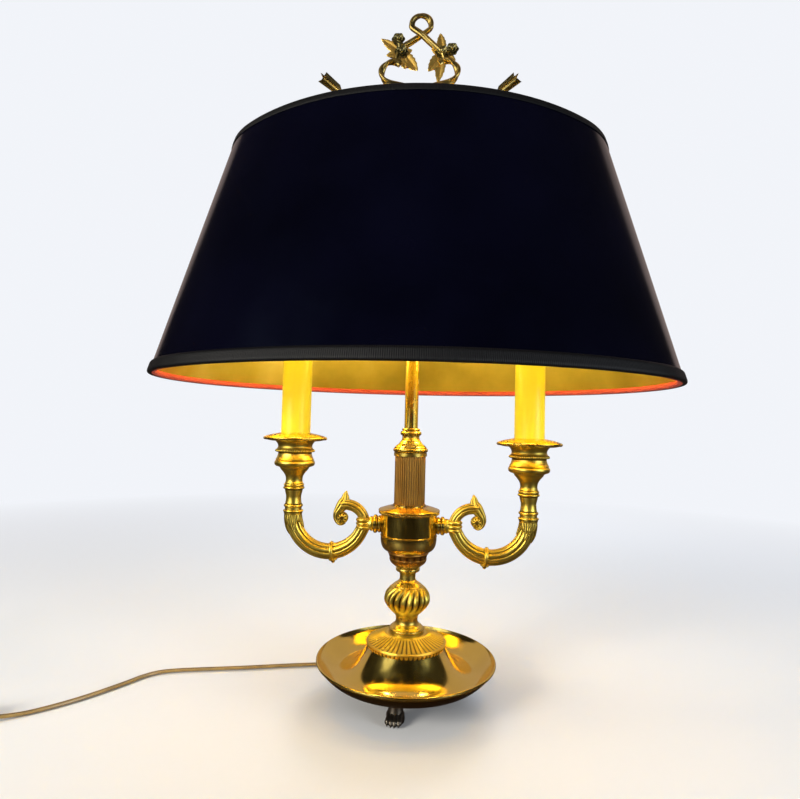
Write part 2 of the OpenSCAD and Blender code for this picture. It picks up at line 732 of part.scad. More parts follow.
module arm() {
    ring_angle = -97;
    core_r = 0.9 * arm_r;
    color("gold") difference() {
        union() {
            in_plane_arc(bend_x, bend_z, bend_r, -bend_sweep, bend_sweep)
                reeded_section(arm_r, arm_reeds);
            // Leaf sleeve and head under the candle stem
            in_plane_arc(bend_x, bend_z, bend_r, -24, 24) circle(arm_r + 0.9);
            translate([arm_reach, 0, bend_z]) rotate_extrude() {
                band(arm_r + 1.2, 0, arm_head_h);
                bead(arm_r + 1.9, arm_head_h - 2, 2);
            }
            // Ring with a drop at the foot of the bend
            translate([bend_x, 0, bend_z]) rotate([0, -ring_angle, 0]) translate([bend_r, 0, 0]) {
                rotate_extrude() translate([arm_r, 0]) circle(1.7);
                rotate([0, 90, 0]) cylinder(h = arm_r + 3.4, r1 = 4, r2 = 0.8);
            }
            // Binding: three hoops round the root of both scrolls
            bar(entry, [knee[0], knee[1] - 4], core_r);
            translate([entry[0], 0, entry[1]]) sphere(core_r + 0.2);
            translate([knee[0], 0, knee[1]]) rotate_extrude() {
                band(core_r, -5, 10);
                for (k = [-1 : 1]) translate([0, 3.3 * k - 1.6]) bead(7.4, 0, 3.2);
            }
            translate([arm_boss_x, 0, spindle_z]) rotate([0, 90, 0])
                cylinder(h = knee[0] - arm_boss_x, r = 6.4);
            in_plane_arc(scroll_x, scroll_z, scroll_r, scroll_end, scroll_start - scroll_end)
                reeded_section(scroll_strand_r, arm_reeds);
            volute();
        }
        // The bore's three lengths run into each other at the corners
        bar([0, spindle_z], knee + [run_in, 0], arm_bore_r);
        bar(knee - run_in * slant, entry + run_in * slant, arm_bore_r + 0.3);
        in_plane_arc(bend_x, bend_z, bend_r, -bend_sweep, bend_sweep) circle(arm_bore_r);
        bar([arm_boss_x - 2, spindle_z], [arm_boss_x + 3.2, spindle_z], nipple_r + seat_gap);
        translate([arm_reach, 0, arm_head_z - shank_depth]) cylinder(h = reach, r = bore_r);
    }
}

module cup_stem() {
    h = cup_stem_h;
    color("goldenrod") translate([arm_reach, 0, cup_stem_z]) turned(bore_r) {
        polygon([[0, 0], [7.4, 0], [7.4, 5.8], [6.8, 8.4], [6.7, 12], [7.6, 16], [8, 19.5],
            [8.2, 22.6], [7.4, 26], [7.8, 29.5], [9.4, h - 6], [12.4, h - 2.4], [13, h - 1],
            [15, h], [0, h]]);
        bead(8.5, 2.4, 2.6);
        bead(9.5, 18.4, 2);
        bead(9, 20.2, 3.2);
    }
}

module candle_cup() {
    h = cup_h;
    body = cup_r - 2;
    color("goldenrod") translate([arm_reach, 0, cup_z]) turned(bore_r) {
        bead(cup_r, 0, 6);
        polygon([[0, 4], [cup_r - 1, 5], [body, 8.5], [body - 0.3, 10.8], [body - 1.5, 11.8],
            [body - 1.5, 12.8], [body - 0.5, 13.6], [body - 1, 15.4], [body - 0.9, h - 7.6],
            [body + 0.6, h - 5.2], [body + 2.8, h - 2.8], [body + 4, h - 1.2], [body + 4, h], [0, h]]);
        bead(cup_r - 0.9, 12.8, 2.6);
    }
}

module drip_pan() {
    color("gold") translate([arm_reach, 0, pan_z]) turned(bore_r) {
        rim = 0.9;
        polygon([[0, 0], [cup_r + 2, 0], [pan_r - 1.4, -rim], [pan_r - rim, rim], [pan_r - 6, 0.52 * pan_h],
            [cup_r - 1.6, 0.8 * pan_h], [sleeve_r + 0.6, pan_h], [0, pan_h]]);
        translate([pan_r - rim, 0]) circle(rim);
    }
}

// Lampholder on its threaded shank, with a socket for the bulb's cap
module lampholder() {
    shank_z = arm_head_z - shank_depth + 0.5;
    color("ivory") translate([arm_reach, 0, 0]) difference() {
        union() {
            translate([0, 0, shank_z]) cylinder(h = sleeve_z - shank_z + 1, r = tube_r);
            translate([0, 0, sleeve_z]) cylinder(h = holder_top_z - sleeve_z, r = holder_r);
        }
        translate([0, 0, shank_z - 1]) cylinder(h = reach, r = tube_bore_r - 0.8);
        translate([0, 0, holder_top_z - cap_h_in - 1]) cylinder(h = reach, r = cap_r + 0.2);
    }
}

module candle_sleeve() {
    color("khaki") translate([arm_reach, 0, sleeve_z]) difference() {
        cylinder(h = sleeve_h, r = sleeve_r);
        translate([0, 0, -1]) cylinder(h = sleeve_h + 2, r = sleeve_r - sleeve_wall);
    }
}

// Radius of a candle bulb at height t, from 0 at its holder to 1 at its tip
function bulb_line(t) = t < 0.36 ? 7.2 + (bulb_r - 7.2) * sin(90 * t / 0.36)
    : bulb_r * pow(cos(90 * (t - 0.36) / 0.64), 0.85);

module bulb() {
    glass = 0.8;
    steps = 16;
    tip = 0.985;
    outer = [for (i = [0 : steps]) let (t = tip * i / steps) [bulb_line(t), t * bulb_glass_h]];
    inner = [for (i = [steps - 1 : -1 : 0]) let (t = tip * i / steps)
        [max(bulb_line(t) - glass, 0.1), t * bulb_glass_h + 0.01]];
    color("lightyellow") translate([arm_reach, 0, holder_top_z]) {
        rotate_extrude() {
            polygon(concat([[0, 0]], outer, [[0, tip * bulb_glass_h]], [[0, (tip - 0.03) * bulb_glass_h]],
                inner, [[0, 0.01]]));
            band(cap_r, -cap_h_in, cap_h_in + glass);
        }
    }
}

// ---- Shade carrier, key and frame ----

// Places round the oval: the centre and radius of each arc, and the direction from it
oval_steps = 15;
oval_arcs = [
    [oval_end_x, 0, oval_end_r, 0, oval_end_half],
    [0, -oval_side_y, oval_side_r, 90, oval_side_half],
    [-oval_end_x, 0, oval_end_r, 180, oval_end_half],
    [0, oval_side_y, oval_side_r, 270, oval_side_half]
];
oval_places = [for (arc = oval_arcs, i = [0 : oval_steps - 1])
    [arc[0], arc[1], arc[2], arc[3] + arc[4] * (2 * i / oval_steps - 1)]];

// Carries a closed section round the oval: x is measured outwards from the top opening's line
module oval_sweep(section) {
    m = len(oval_places);
    n = len(section);
    points = [for (p = oval_places, q = section)
        [p[0] + (p[2] + q[0]) * cos(p[3]), p[1] + (p[2] + q[0]) * sin(p[3]), q[1]]];
    faces = [for (i = [0 : m - 1], j = [0 : n - 1]) let (ni = (i + 1) % m, nj = (j + 1) % n)
        [i * n + j, i * n + nj, ni * n + nj, ni * n + j]];
    polyhedron(points, faces);
}

function round_section(x, z, r, sides) =
    [for (k = [0 : sides - 1]) [x + r * cos(360 * k / sides), z + r * sin(360 * k / sides)]];

module shade_carrier() {
    h = carrier_h;
    color("goldenrod") difference() {
        union() {
            translate([0, 0, carrier_z]) turned(rod_r + slide_gap) {
                band(rod_r + 3, 0, h - 8);
                bead(rod_r + 4, 0.4, 2.6);
                band(flange_r, h - 8 - flange_h, flange_h);
                band(rod_r + 3, h - 8 - flange_h - 3, 3, flange_r - 2);
                band(carrier_neck_r, h - 9, 9);
            }
            difference() {
                translate([0, 0, key_z]) rotate([90, 0, 0]) cylinder(h = key_boss_y, r = key_r + 2.6);
                cylinder(h = reach, r = rod_r + 1);
            }
        }
        translate([0, 0, key_z]) rotate([90, 0, 0]) cylinder(h = reach, r = key_r + turn_gap);
    }
}

// Thumb key: a screw whose head is a ring cut by a bar
module clamp_key() {
    head_y = key_boss_y + 1;
    ring = 7;
    color("gold") translate([0, 0, key_z]) rotate([90, 0, 0]) {
        translate([0, 0, rod_r + air_gap]) cylinder(h = head_y + 4 - rod_r, r = key_r);
        translate([0, 0, head_y - 0.6]) cylinder(h = 1.8, r = key_r + 1.6);
        translate([0, 0, head_y + ring + 3]) rotate([90, 0, 0])
            rotate_extrude() translate([ring, 0]) circle(1.5);
    }
}

module spider_nut() {
    z = hub_z + hub_h + 2 * turn_gap;
    color("gold") translate([0, 0, z]) turned(carrier_neck_r + seat_gap) {
        band(carrier_neck_r + 5, 0, 4.4);
        bead(carrier_neck_r + 5.6, 0.9, 2.6);
    }
}

// Hub, four spokes and the wire oval that carries the shade's top edge
module shade_spider() {
    in = card + wire_r + seat_gap;
    ring_off = spread_at(top_ring_z) - in;
    color("silver") difference() {
        union() {
            translate([0, 0, hub_z + turn_gap]) cylinder(h = hub_h, r = carrier_neck_r + 6.5);
            oval_sweep(round_section(ring_off, top_ring_z, wire_r, 8));
            for (s = [0, 180]) rotate(s) {
                bar([flange_r, hub_z + turn_gap + 1], [shade_top_a + ring_off, top_ring_z], wire_r);
                rotate(90) bar([flange_r, hub_z + turn_gap + 1],
                    [shade_top_b + ring_off, top_ring_z], wire_r);
                for (q = [0, 90]) rotate(q) translate([carrier_neck_r + 4, -wire_r, hub_z + turn_gap])
                    cube([flange_r - carrier_neck_r - 2.6, 2 * wire_r, hub_h]);
            }
        }
        cylinder(h = reach, r = carrier_neck_r + turn_gap);
    }
}

module shade_card() {
    color("#101014") oval_sweep([
        [spread_at(shade_z) - card, shade_z], [spread_at(shade_z), shade_z],
        [0, shade_top_z], [-card, shade_top_z]]);
}

module shade_bottom_ring() {
    color("silver") oval_sweep(round_section(bottom_ring_x, bottom_ring_z, bottom_wire_r, 8));
}

module shade_top_tape() {
    z = shade_top_z - top_tape_h;
    color("#1c1c20") oval_sweep([
        [spread_at(z), z], [spread_at(z) + tape_t, z], [tape_t, shade_top_z + tape_t],
        [-card, shade_top_z + tape_t], [-card, shade_top_z], [0, shade_top_z]]);
}

module shade_bottom_tape() {
    t = bottom_tape_t;
    z1 = shade_z + bottom_tape_h;
    color("#0c0c10") oval_sweep([
        [spread_at(shade_z), shade_z], [spread_at(shade_z) + t - 0.8, shade_z],
        [spread_at(shade_z + 1.6) + t, shade_z + 1.6], [spread_at(z1 - 2.4) + t, z1 - 2.4],
        [spread_at(z1 - 0.6) + 0.5 * t, z1 - 0.6], [spread_at(z1) + tape_t, z1], [spread_at(z1), z1]]);
}

// Tape folded round the bottom ring and under the card's edge
module shade_hem_tape() {
    inside = bottom_wire_r + 0.2;
    outside = inside + tape_t;
    x = bottom_ring_x;
    z = bottom_ring_z;
    flap_z = z + 3.6;
    flap_x = spread_at(flap_z) - card - 0.05;
    over = [for (a = [120 : 41 : 243]) [x + outside * cos(a), z + outside * sin(a)]];
    under = [for (a = [243 : -45 : 108]) [x + inside * cos(a), z + inside * sin(a)]];
    lip_x = spread_at(shade_z) + bottom_tape_t - 0.8;
    color("orangered") oval_sweep(concat(
        [[flap_x, flap_z], [flap_x - tape_t, flap_z]], over,
        [[lip_x, shade_z - tape_t], [lip_x, shade_z - 0.05], [x + 0.4, shade_z - 0.05]], under,
        [[spread_at(z + 2.2) - card - 0.05, z + 2.2]]));
}

// ---- Finial ----

module finial_stem() {
    h = finial_stem_h + finial_seat;
    ball_z = cross_z - finial_z;
    color("gold") difference() {
        translate([0, 0, finial_z]) turned(0) {
            band(rod_r + 3, 0, 9);
            band(6, 0, ball_z);
            bead(rod_r + 4.4, 0.5, 3);
            bead(rod_r + 3.6, 6.4, 2.4);
            translate([0, ball_z]) circle(finial_ball_r);
            polygon([[0, ball_z], [5, ball_z], [4.2, ball_z + 12], [3.4, ball_z + 20], [5, ball_z + 30],
                [6, ball_z + 40], [4, h - 9], [3.2, h - 6], [3.2, h - 1], [0, h]]);
            bead(6.4, ball_z + 11, 2.6);
            bead(7, ball_z + 39, 2.4);
            bead(5.4, h - 6, 3);
        }
        cylinder(h = rod_top, r = rod_r + seat_gap);
        for (s = [-1, 1]) arrow_line(s) cylinder(h = reach, r = arrow_r + seat_gap, center = true);
    }
}

// Places its children on an arrow's line, with z towards the nock
module arrow_line(s) {
    translate([0, s * (arrow_r + 0.6), cross_z]) rotate([0, s * (90 - arrow_rise), 0]) children();
}

// Crossed arrow: shaft, barbed head and two pairs of vanes
module arrow(s) {
    vane_l = 26;
    color("goldenrod") arrow_line(s) {
        translate([0, 0, -arrow_head + 7]) cylinder(h = arrow_head - 7 + arrow_nock - 3, r = arrow_r);
        translate([0, 0, -arrow_head]) cylinder(h = 9, r1 = 0.4, r2 = 4);
        translate([0, 0, arrow_nock - vane_l]) for (q = [0, 90]) rotate([90, 0, q])
            linear_extrude(1.2, center = true) polygon([[-arrow_r, 0], [-5, 5], [-5, vane_l - 3],
                [-3, vane_l], [0, vane_l - 3.5], [3, vane_l], [5, vane_l - 3], [5, 5], [arrow_r, 0]]);
    }
}

// One strap: a loop, two legs that cross below it, and a C on each side back to the stem
module ribbon() {
    t = 3.4;
    c_r = 10.4;
    c_x = 24.5;
    c_z = bow_z + 18.5;
    in_plane_arc(1, loop_z, loop_r, -42, 264) strip_section(ribbon_w, 3.4);
    bar([1 - loop_r * cos(42), loop_z - loop_r * sin(42)], [19, bow_z + 37], 2.5, 2.2);
    bar([1 + loop_r * cos(42), loop_z - loop_r * sin(42)], [-17, bow_z + 42], 2.5, 2.2);
    bar([-17, bow_z + 42], [-21, bow_z + 29], 2.3);
    bar([19, bow_z + 37], [23, bow_z + 28.8], 2.3);
    for (s = [-1, 1]) mirror([s < 0 ? 1 : 0, 0, 0]) {
        in_plane_arc(c_x, c_z, c_r, -90, 200) strip_section(ribbon_w, t);
        bar([c_x, c_z - c_r], [1, bow_z + 3.4], 2.2, 2);
    }
    translate([0, 0, bow_z]) cylinder(h = 3.6, r1 = 3.2, r2 = 4);
    translate([0, 0, bow_z + 4]) sphere(3.9);
}

module ribbon_bow() {
    color("gold") ribbon();
}

// Rose with its leaves, brazed on a ribbon end: knot, rose and leaf tips as XZ points
module rose_spray(knot, rose, tips) {
    rose_r = 5.6;
    petals = 6;
    color("peru") difference() {
        union() {
            translate([knot[0], 0, knot[1]]) sphere(3.9);
            bar(knot, rose, 2.6);
            translate([rose[0], -1, rose[1]]) {
                sphere(rose_r * 0.72);
                for (i = [0 : petals - 1]) rotate([0, i * 360 / petals, 0])
                    translate([rose_r * 0.58, 0, 0]) sphere(rose_r * 0.42);
            }
            for (tip = tips) bar(knot, tip, 3.1, 0.6);
        }
        ribbon();
    }
}

// ---- Cord, switch and plug ----

module strain_relief() {
    widths = [9.4, 7.6, 6.4, cord_w + 0.7];
    color("#8a6a20") swept_tube(cord_start, widths, widths, 12);
}

module cord() {
    one = function (p, v) [for (q = p) v];
    color("#b08a35") {
        swept_tube(cord_route, one(cord_route, cord_w), one(cord_route, cord_t), 8);
        swept_tube(cord_link, one(cord_link, cord_w), one(cord_link, cord_t), 8);
        swept_tube(cord_tail, one(cord_tail, cord_w), one(cord_tail, cord_t), 8);
    }
}

module cord_coil() {
    color("#b08a35") translate([coil_x, coil_y, 0]) rotate_extrude()
        translate([coil_r - coil_w / 2, 0]) square([coil_w, coil_h]);
}

module at_switch() {
    translate([switch_x, switch_y, 0]) rotate(switch_heading) children();
}

rocker_l = 20;
rocker_w = 9;
rocker_pin_r = 1.3;

// Two-part moulded case, seen as one, with a well for the rocker
module switch_body() {
    side = switch_w / 2;
    nose = 9;
    color("#2a2018") at_switch() difference() {
        union() {
            linear_extrude(switch_h - 2) {
                square([switch_l - 2 * nose, switch_w], center = true);
                for (s = [-1, 1]) translate([s * (switch_l / 2 - nose), 0]) {
                    intersection() {
                        circle(side);
                        translate([s > 0 ? 0 : -reach, -reach / 2]) square([reach, reach]);
                    }
                }
            }
            translate([0, 0, switch_h - 2]) linear_extrude(2)
                square([switch_l - 2 * nose, switch_w - 4], center = true);
        }
        for (s = [-1, 1]) translate([s * (switch_l / 2 + reach / 2 - 1), 0, switch_h / 2])
            cube([reach, switch_w + 2, switch_h + 2], center = true);
        translate([-rocker_l / 2 - air_gap, -rocker_w / 2 - air_gap, switch_h - 7])
            cube([rocker_l + 2 * air_gap, rocker_w + 2 * air_gap, 10]);
        translate([0, 0, switch_h - 2.4]) rotate([90, 0, 0])
            cylinder(h = rocker_w + 5, r = rocker_pin_r + turn_gap, center = true);
    }
}

module switch_rocker() {
    color("#3a2e22") at_switch() translate([0, 0, switch_h - 2.4]) rotate([90, 0, 0]) rotate(rocker_tilt) {
        linear_extrude(rocker_w, center = true)
            polygon([[-rocker_l / 2 + 0.4, 0], [-rocker_l / 2 + 0.4, 3.6], [0, 2.6],
                [rocker_l / 2 - 0.4, 3.6], [rocker_l / 2 - 0.4, 0], [3, -2.4], [-3, -2.4]]);
        cylinder(h = rocker_w + 4, r = rocker_pin_r, center = true);
    }
}

// Flat two-pin plug lying on its side
module plug_body() {
    neck = 8;
    color("#2a2018") translate([plug_x, plug_y, 0]) {
        linear_extrude(plug_t) polygon([[0, -3.4], [0, 3.4], [neck, 4.2], [neck + 8, plug_w / 2 - 3],
            [plug_l - 4, plug_w / 2], [plug_l, plug_w / 2 - 1.5], [plug_l, 1.5 - plug_w / 2],
            [plug_l - 4, -plug_w / 2], [neck + 8, 3 - plug_w / 2], [neck, -4.2]]);
    }
}

module plug_pins() {
    color("silver") translate([plug_x + plug_l, plug_y, plug_t / 2]) for (s = [-1, 1])
        translate([0, s * pin_pitch / 2, 0]) rotate([0, 90, 0]) {
            cylinder(h = pin_l - pin_r, r = pin_r);
            translate([0, 0, pin_l - pin_r]) sphere(pin_r);
        }
}

// ---- The nodes ----

base_dish();
paw_foot(front_paw_angle);  // paw_foot_front
paw_foot(front_paw_angle + 120);  // paw_foot_right
paw_foot(front_paw_angle - 120);  // paw_foot_left
base_weight();
base_washer();
stem_nuts();
stem_tube();
fluted_collar();
stem_foot();
gadrooned_knop();
knop_cap();
waisted_neck();
leaf_cup();
drum_bowl();
drum_body();
drum_lid();
terminal_block();
inner_wires();
reeded_column();
column_cap();
shade_rod();
mirror([1, 0, 0]) arm();  // arm_left
arm();  // arm_right
mirror([1, 0, 0]) arm_spindle();  // arm_spindle_left
arm_spindle();  // arm_spindle_right
mirror([1, 0, 0]) cup_stem();  // cup_stem_left
cup_stem();  // cup_stem_right
mirror([1, 0, 0]) candle_cup();  // candle_cup_left
candle_cup();  // candle_cup_right
mirror([1, 0, 0]) drip_pan();  // drip_pan_left
drip_pan();  // drip_pan_right
mirror([1, 0, 0]) lampholder();  // lampholder_left
lampholder();  // lampholder_right
mirror([1, 0, 0]) candle_sleeve();  // candle_sleeve_left
candle_sleeve();  // candle_sleeve_right
mirror([1, 0, 0]) bulb();  // bulb_left
bulb();  // bulb_right
shade_carrier();
clamp_key();
spider_nut();
shade_spider();
shade_card();
shade_bottom_ring();
shade_top_tape();
shade_bottom_tape();
shade_hem_tape();
finial_stem();
arrow(-1);  // arrow_left
arrow(1);  // arrow_right
ribbon_bow();
rose_spray(left_knot, left_rose, left_leaf_tips);  // rose_spray_left
rose_spray(right_knot, right_rose, right_leaf_tips);  // rose_spray_right
strain_relief();
cord();
cord_coil();
switch_body();
switch_rocker();
plug_body();
plug_pins();
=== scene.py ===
import math

import bmesh
import bpy
import numpy as np
from mathutils import Matrix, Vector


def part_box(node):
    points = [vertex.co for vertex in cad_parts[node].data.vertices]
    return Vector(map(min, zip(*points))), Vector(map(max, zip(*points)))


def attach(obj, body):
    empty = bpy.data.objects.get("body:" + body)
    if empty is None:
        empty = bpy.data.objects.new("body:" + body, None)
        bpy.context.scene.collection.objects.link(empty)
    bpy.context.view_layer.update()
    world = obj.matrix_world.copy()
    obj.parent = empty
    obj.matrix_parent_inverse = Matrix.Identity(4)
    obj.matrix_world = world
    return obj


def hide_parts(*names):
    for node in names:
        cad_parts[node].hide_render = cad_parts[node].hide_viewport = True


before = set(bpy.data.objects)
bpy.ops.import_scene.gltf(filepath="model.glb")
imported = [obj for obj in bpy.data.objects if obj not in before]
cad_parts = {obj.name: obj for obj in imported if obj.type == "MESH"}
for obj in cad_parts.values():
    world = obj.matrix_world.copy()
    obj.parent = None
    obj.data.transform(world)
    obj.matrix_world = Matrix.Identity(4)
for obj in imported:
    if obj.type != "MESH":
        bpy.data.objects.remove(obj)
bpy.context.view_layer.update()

MM = 0.001

# ---- Camera ----
# Stands half a metre in front of the lamp, level with the feet of the candles, a little to the right
# of square on, and is tilted up slightly and rolled by a degree and a half as a hand-held one is.

CAMERA_PLACE = np.array([23.1, -498.2, 234.4]) * MM
CAMERA_HEADING = -0.0674
CAMERA_PITCH = 0.0482
CAMERA_ROLL = 0.0244
CAMERA_LENS = 25.178


def aimed(thing, place, right, up):
    """Camera or lamp at a place, with its right and up axes; it looks the opposite way to right x up."""
    columns = np.stack([right, up, np.cross(right, up), place], -1)
    thing.matrix_world = Matrix(columns.tolist() + [[0, 0, 0, 1]])
    bpy.context.scene.collection.objects.link(thing)
    return thing


ahead = np.array([math.sin(CAMERA_HEADING), math.cos(CAMERA_HEADING), 0])
level = np.array([ahead[1], -ahead[0], 0])
upright = np.cross(level, math.cos(CAMERA_PITCH) * ahead + [0, 0, math.sin(CAMERA_PITCH)])
camera = aimed(bpy.data.objects.new("camera", bpy.data.cameras.new("camera")), CAMERA_PLACE,
               math.cos(CAMERA_ROLL) * level + math.sin(CAMERA_ROLL) * upright,
               math.cos(CAMERA_ROLL) * upright - math.sin(CAMERA_ROLL) * level)
camera.data.lens = CAMERA_LENS
camera.data.sensor_width = 36
camera.data.clip_start = 0.02
bpy.context.scene.camera = camera

# ---- Cord ----
# Flat twin flex, two cores side by side in gold-brown vinyl, 1.8 m from the foot to the plug.
# It drops out of the stem tube, runs over the table through the switch, and the rest is coiled.

CORE_RADIUS = 1.3
CORE_OFFSET = 0.95
CORD_EXIT = np.array([-0.4, 1.3, 15])
TABLE_LIE = 1.9
COIL_MIDDLE = np.array([-370, -148])
COIL_RADII = np.array([31.6, 27, 22.4, 22.4, 27, 31.6, 31.6, 31.6])
COIL_LAYERS = np.array([0, 0, 0, 1, 1, 1, 2, 2])
COIL_TURNS = 7.25
COIL_LIE = 1.4
LAYER_RISE = 2.65
PLUG_PLACE = np.array([-336, -179.6, 6.8])
CORD_TAIL = PLUG_PLACE + [[-22, 0, 0], [-10, 0, 0], [0, 0, 0]]


def lying(*points):
    """Points of (x, y) at the height of a flex that lies on the table."""
    return [[*point, TABLE_LIE] for point in points]


CORD_ROUTE = np.array([
    CORD_EXIT, [-1, 3.7, 10.5], [-2, 7.4, 6.5], [-3.4, 12.7, 3.2],
    *lying([-5.2, 19.3], [-9, 32], [-17, 44], [-30, 53], [-47, 57], [-66, 55.5], [-88, 51], [-105, 47.5],
           [-128, 42], [-150, 36.5], [-172, 31.5], [-195, 26.5], [-214, 22], [-229, 16], [-239, 6],
           [-246, -6], [-253, -17], [-261, -29], [-271, -42], [-283, -55], [-297, -67]),
    [-311, -76, 3], [-323, -81.5, 5], [-350.5, -91.5, 5], [-378, -101.5, 5], [-386, -106, 3],
    *lying([-392, -114], [-397, -124], [-400.5, -136])])


def smooth_line(points, per_span):
    """Catmull-Rom curve: each span is a cubic whose slope at a point is half the step past it."""
    p = np.vstack([2 * points[0] - points[1], points, 2 * points[-1] - points[-2]])
    a, b, c, d = (p[i:len(p) - 3 + i, None] for i in range(4))
    t = (np.arange(per_span) / per_span)[None, :, None]
    bend, skew = 2 * a - 5 * b + 4 * c - d, 3 * b - a - 3 * c + d
    curve = 0.5 * (2 * b + (c - a) * t + bend * t**2 + skew * t**3)
    return np.vstack([curve.reshape(-1, points.shape[1]), points[-1:]])


def around(angle):
    """Points (cos, sin) of the angles."""
    return np.stack([np.cos(angle), np.sin(angle)], -1)


def turns(count):
    """That many angles, evenly round a circle."""
    return np.linspace(0, 2 * math.pi, count, endpoint=False)


def circle(sides):
    """That many points round a circle of one unit."""
    return around(turns(sides))


def held(value):
    """The value held between 0 and 1."""
    return np.clip(value, 0, 1)


def coil_line(steps):
    """Circles of the listed radius and layer, each easing into the next over its last quarter turn."""
    turn = np.linspace(0, COIL_TURNS, steps)
    whole = np.minimum(turn.astype(int), len(COIL_RADII) - 2)
    ease = held((turn - whole - 0.75) / 0.25)
    ease = ease * ease * (3 - 2 * ease)
    radius, layer = (a[whole] * (1 - ease) + a[whole + 1] * ease for a in (COIL_RADII, COIL_LAYERS))
    flat = COIL_MIDDLE + radius[:, None] * around(math.pi * (1 + 2 * turn))
    return np.column_stack([flat, COIL_LIE + LAYER_RISE * layer])


def unit(v):
    """Each vector of an array divided by its own length."""
    return v / np.maximum(np.linalg.norm(v, axis=-1, keepdims=True), 1e-9)


def carried(line, section, side=(0, 1, 0)):
    """Grid of a section carried along a line: point + side * across + (tangent x side) * over."""
    tangent = unit(np.gradient(line, axis=0))
    side = unit(side - tangent * (side * tangent).sum(-1, keepdims=True))
    over = np.cross(tangent, side)
    return line[:, None] + side[:, None] * section[..., :1] + over[:, None] * section[..., 1:]


def surface(grid, closed=False, painted_shade=0.0, sharp=40):
    """Quads between neighbouring points of a grid (rows, columns, xyz) in mm, each row closed on itself.
    A closed grid joins its last row to its first; others get flat ends. The hollow argument is kept at
    each point as painted shade, by which the brass and flex materials darken."""
    rows, columns = grid.shape[:2]
    row, column = np.mgrid[:rows + closed, :columns + 1]
    number = row % rows * columns + column % columns
    corners = lambda a: np.stack([a[:-1, :-1], a[:-1, 1:], a[1:, 1:], a[1:, :-1]], 2)
    faces = corners(number).reshape(-1, 4).tolist()
    spots = np.stack([corners(column / columns), corners(row / rows)], -1).reshape(-1, 2)
    if not closed:
        faces += [number[0, columns - 1::-1].tolist(), number[-1, :columns].tolist()]
        spots = np.vstack([spots, np.zeros((2 * columns, 2))])
    mesh = bpy.data.meshes.new("surface")
    mesh.from_pydata((grid.reshape(-1, 3) * MM).tolist(), [], faces)
    mesh.uv_layers.new(name="UVMap").data.foreach_set("uv", spots.ravel())
    # This point attribute is painted shade: the materials darken where it is high.
    depth = mesh.attributes.new("painted_shade", "FLOAT", "POINT")
    depth.data.foreach_set("value", np.broadcast_to(painted_shade, (rows, columns)).astype(float).ravel())
    welded = bmesh.new()
    welded.from_mesh(mesh)
    bmesh.ops.remove_doubles(welded, verts=welded.verts, dist=1e-6)
    bmesh.ops.recalc_face_normals(welded, faces=welded.faces)
    welded.to_mesh(mesh)
    welded.free()
    mesh.shade_smooth()
    mesh.set_sharp_from_angle(angle=math.radians(sharp))
    return mesh


def placed(name, mesh, slot, material, *nodes, body="lamp"):
    """The mesh as a piece of the lamp, with its material, standing for the given solids; slot is not used.
    """
    mesh.name = name
    mesh.materials.append(material)
    piece = bpy.data.objects.new(name, mesh)
    bpy.context.scene.collection.objects.link(piece)
    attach(piece, body)
    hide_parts(*nodes)
    return piece


def fed(tree, node, *inputs, **named):
    """The node with its settings and inputs by name, and its inputs in order, set or linked as given."""
    for key, given in [*named.items(), *enumerate(inputs)]:
        if isinstance(key, str) and hasattr(node, key):
            setattr(node, key, given)
            continue
        socket = node.inputs[key.replace("_", " ") if isinstance(key, str) else key]
        if isinstance(given, bpy.types.NodeSocket):
            tree.links.new(given, socket)
        else:
            socket.default_value = given
    return node


def put(tree, kind, *inputs, out=0, **named):
    """Output of a new node that is fed as given."""
    return fed(tree, tree.nodes.new("ShaderNode" + kind), *inputs, **named).outputs[out]


def new_material(name):
    """A Principled material and its node tree."""
    material = bpy.data.materials.new(name)
    material.use_nodes = True
    return material, material.node_tree


def finished(material, **sockets):
    """The material with the inputs of its Principled shader set or linked as given."""
    fed(material.node_tree, material.node_tree.nodes["Principled BSDF"], **sockets)
    return material


def noise(tree, scale, detail=3, stretch=(1, 1, 1)):
    """Noise on the piece's own coordinates, stretched per axis; scale counts cells per metre."""
    where = put(tree, "Mapping", put(tree, "TexCoord", out="Object"), Scale=stretch)
    return put(tree, "TexNoise", where, Scale=scale, Detail=detail)


def ranged(tree, value, low, high, to_low=0.0, to_high=1.0):
    """The value's stretch from low to high, put on to_low to to_high."""
    return put(tree, "MapRange", value, low, high, to_low, to_high)


def bumped(tree, height, strength, distance):
    """Normal bumped by a height; distance in metres."""
    return put(tree, "Bump", Height=height, Strength=strength, Distance=distance)


def toned(tree, value, *stops):
    """Colour of the value by a ramp of (position, red, green, blue)."""
    colour = put(tree, "ValToRGB", value)
    elements = colour.node.color_ramp.elements
    while len(elements) < len(stops):
        elements.new(0.5)
    for element, (position, *shade) in zip(elements, stops):
        element.position = position
        element.color = (*shade, 1)
    return colour


def flex_vinyl():
    """Clear gold-brown vinyl over copper with painted shade in the groove between the cores, soft gloss."""
    material, tree = new_material("flex_vinyl")
    groove = put(tree, "Attribute", attribute_name="painted_shade", out="Fac")
    depth = put(tree, "Math", groove, ranged(tree, noise(tree, 90), 0.3, 0.7, 0, 0.4), operation="ADD")
    colour = toned(tree, depth, (0, 0.36, 0.235, 0.075), (0.5, 0.24, 0.15, 0.05), (1, 0.07, 0.04, 0.015))
    return finished(material, Base_Color=colour, Normal=bumped(tree, noise(tree, 420, 2), 0.2, 0.0002),
                    Roughness=0.34, Coat_Weight=0.25, Coat_Roughness=0.2)


def twin_section(per_core):
    """Two touching round cores: each a circle of the core radius, left out where they meet."""
    angle = np.linspace(-math.pi + 0.82, math.pi - 0.82, per_core)
    right = CORE_RADIUS * around(angle) + [CORE_OFFSET, 0]
    return np.vstack([right, -right])


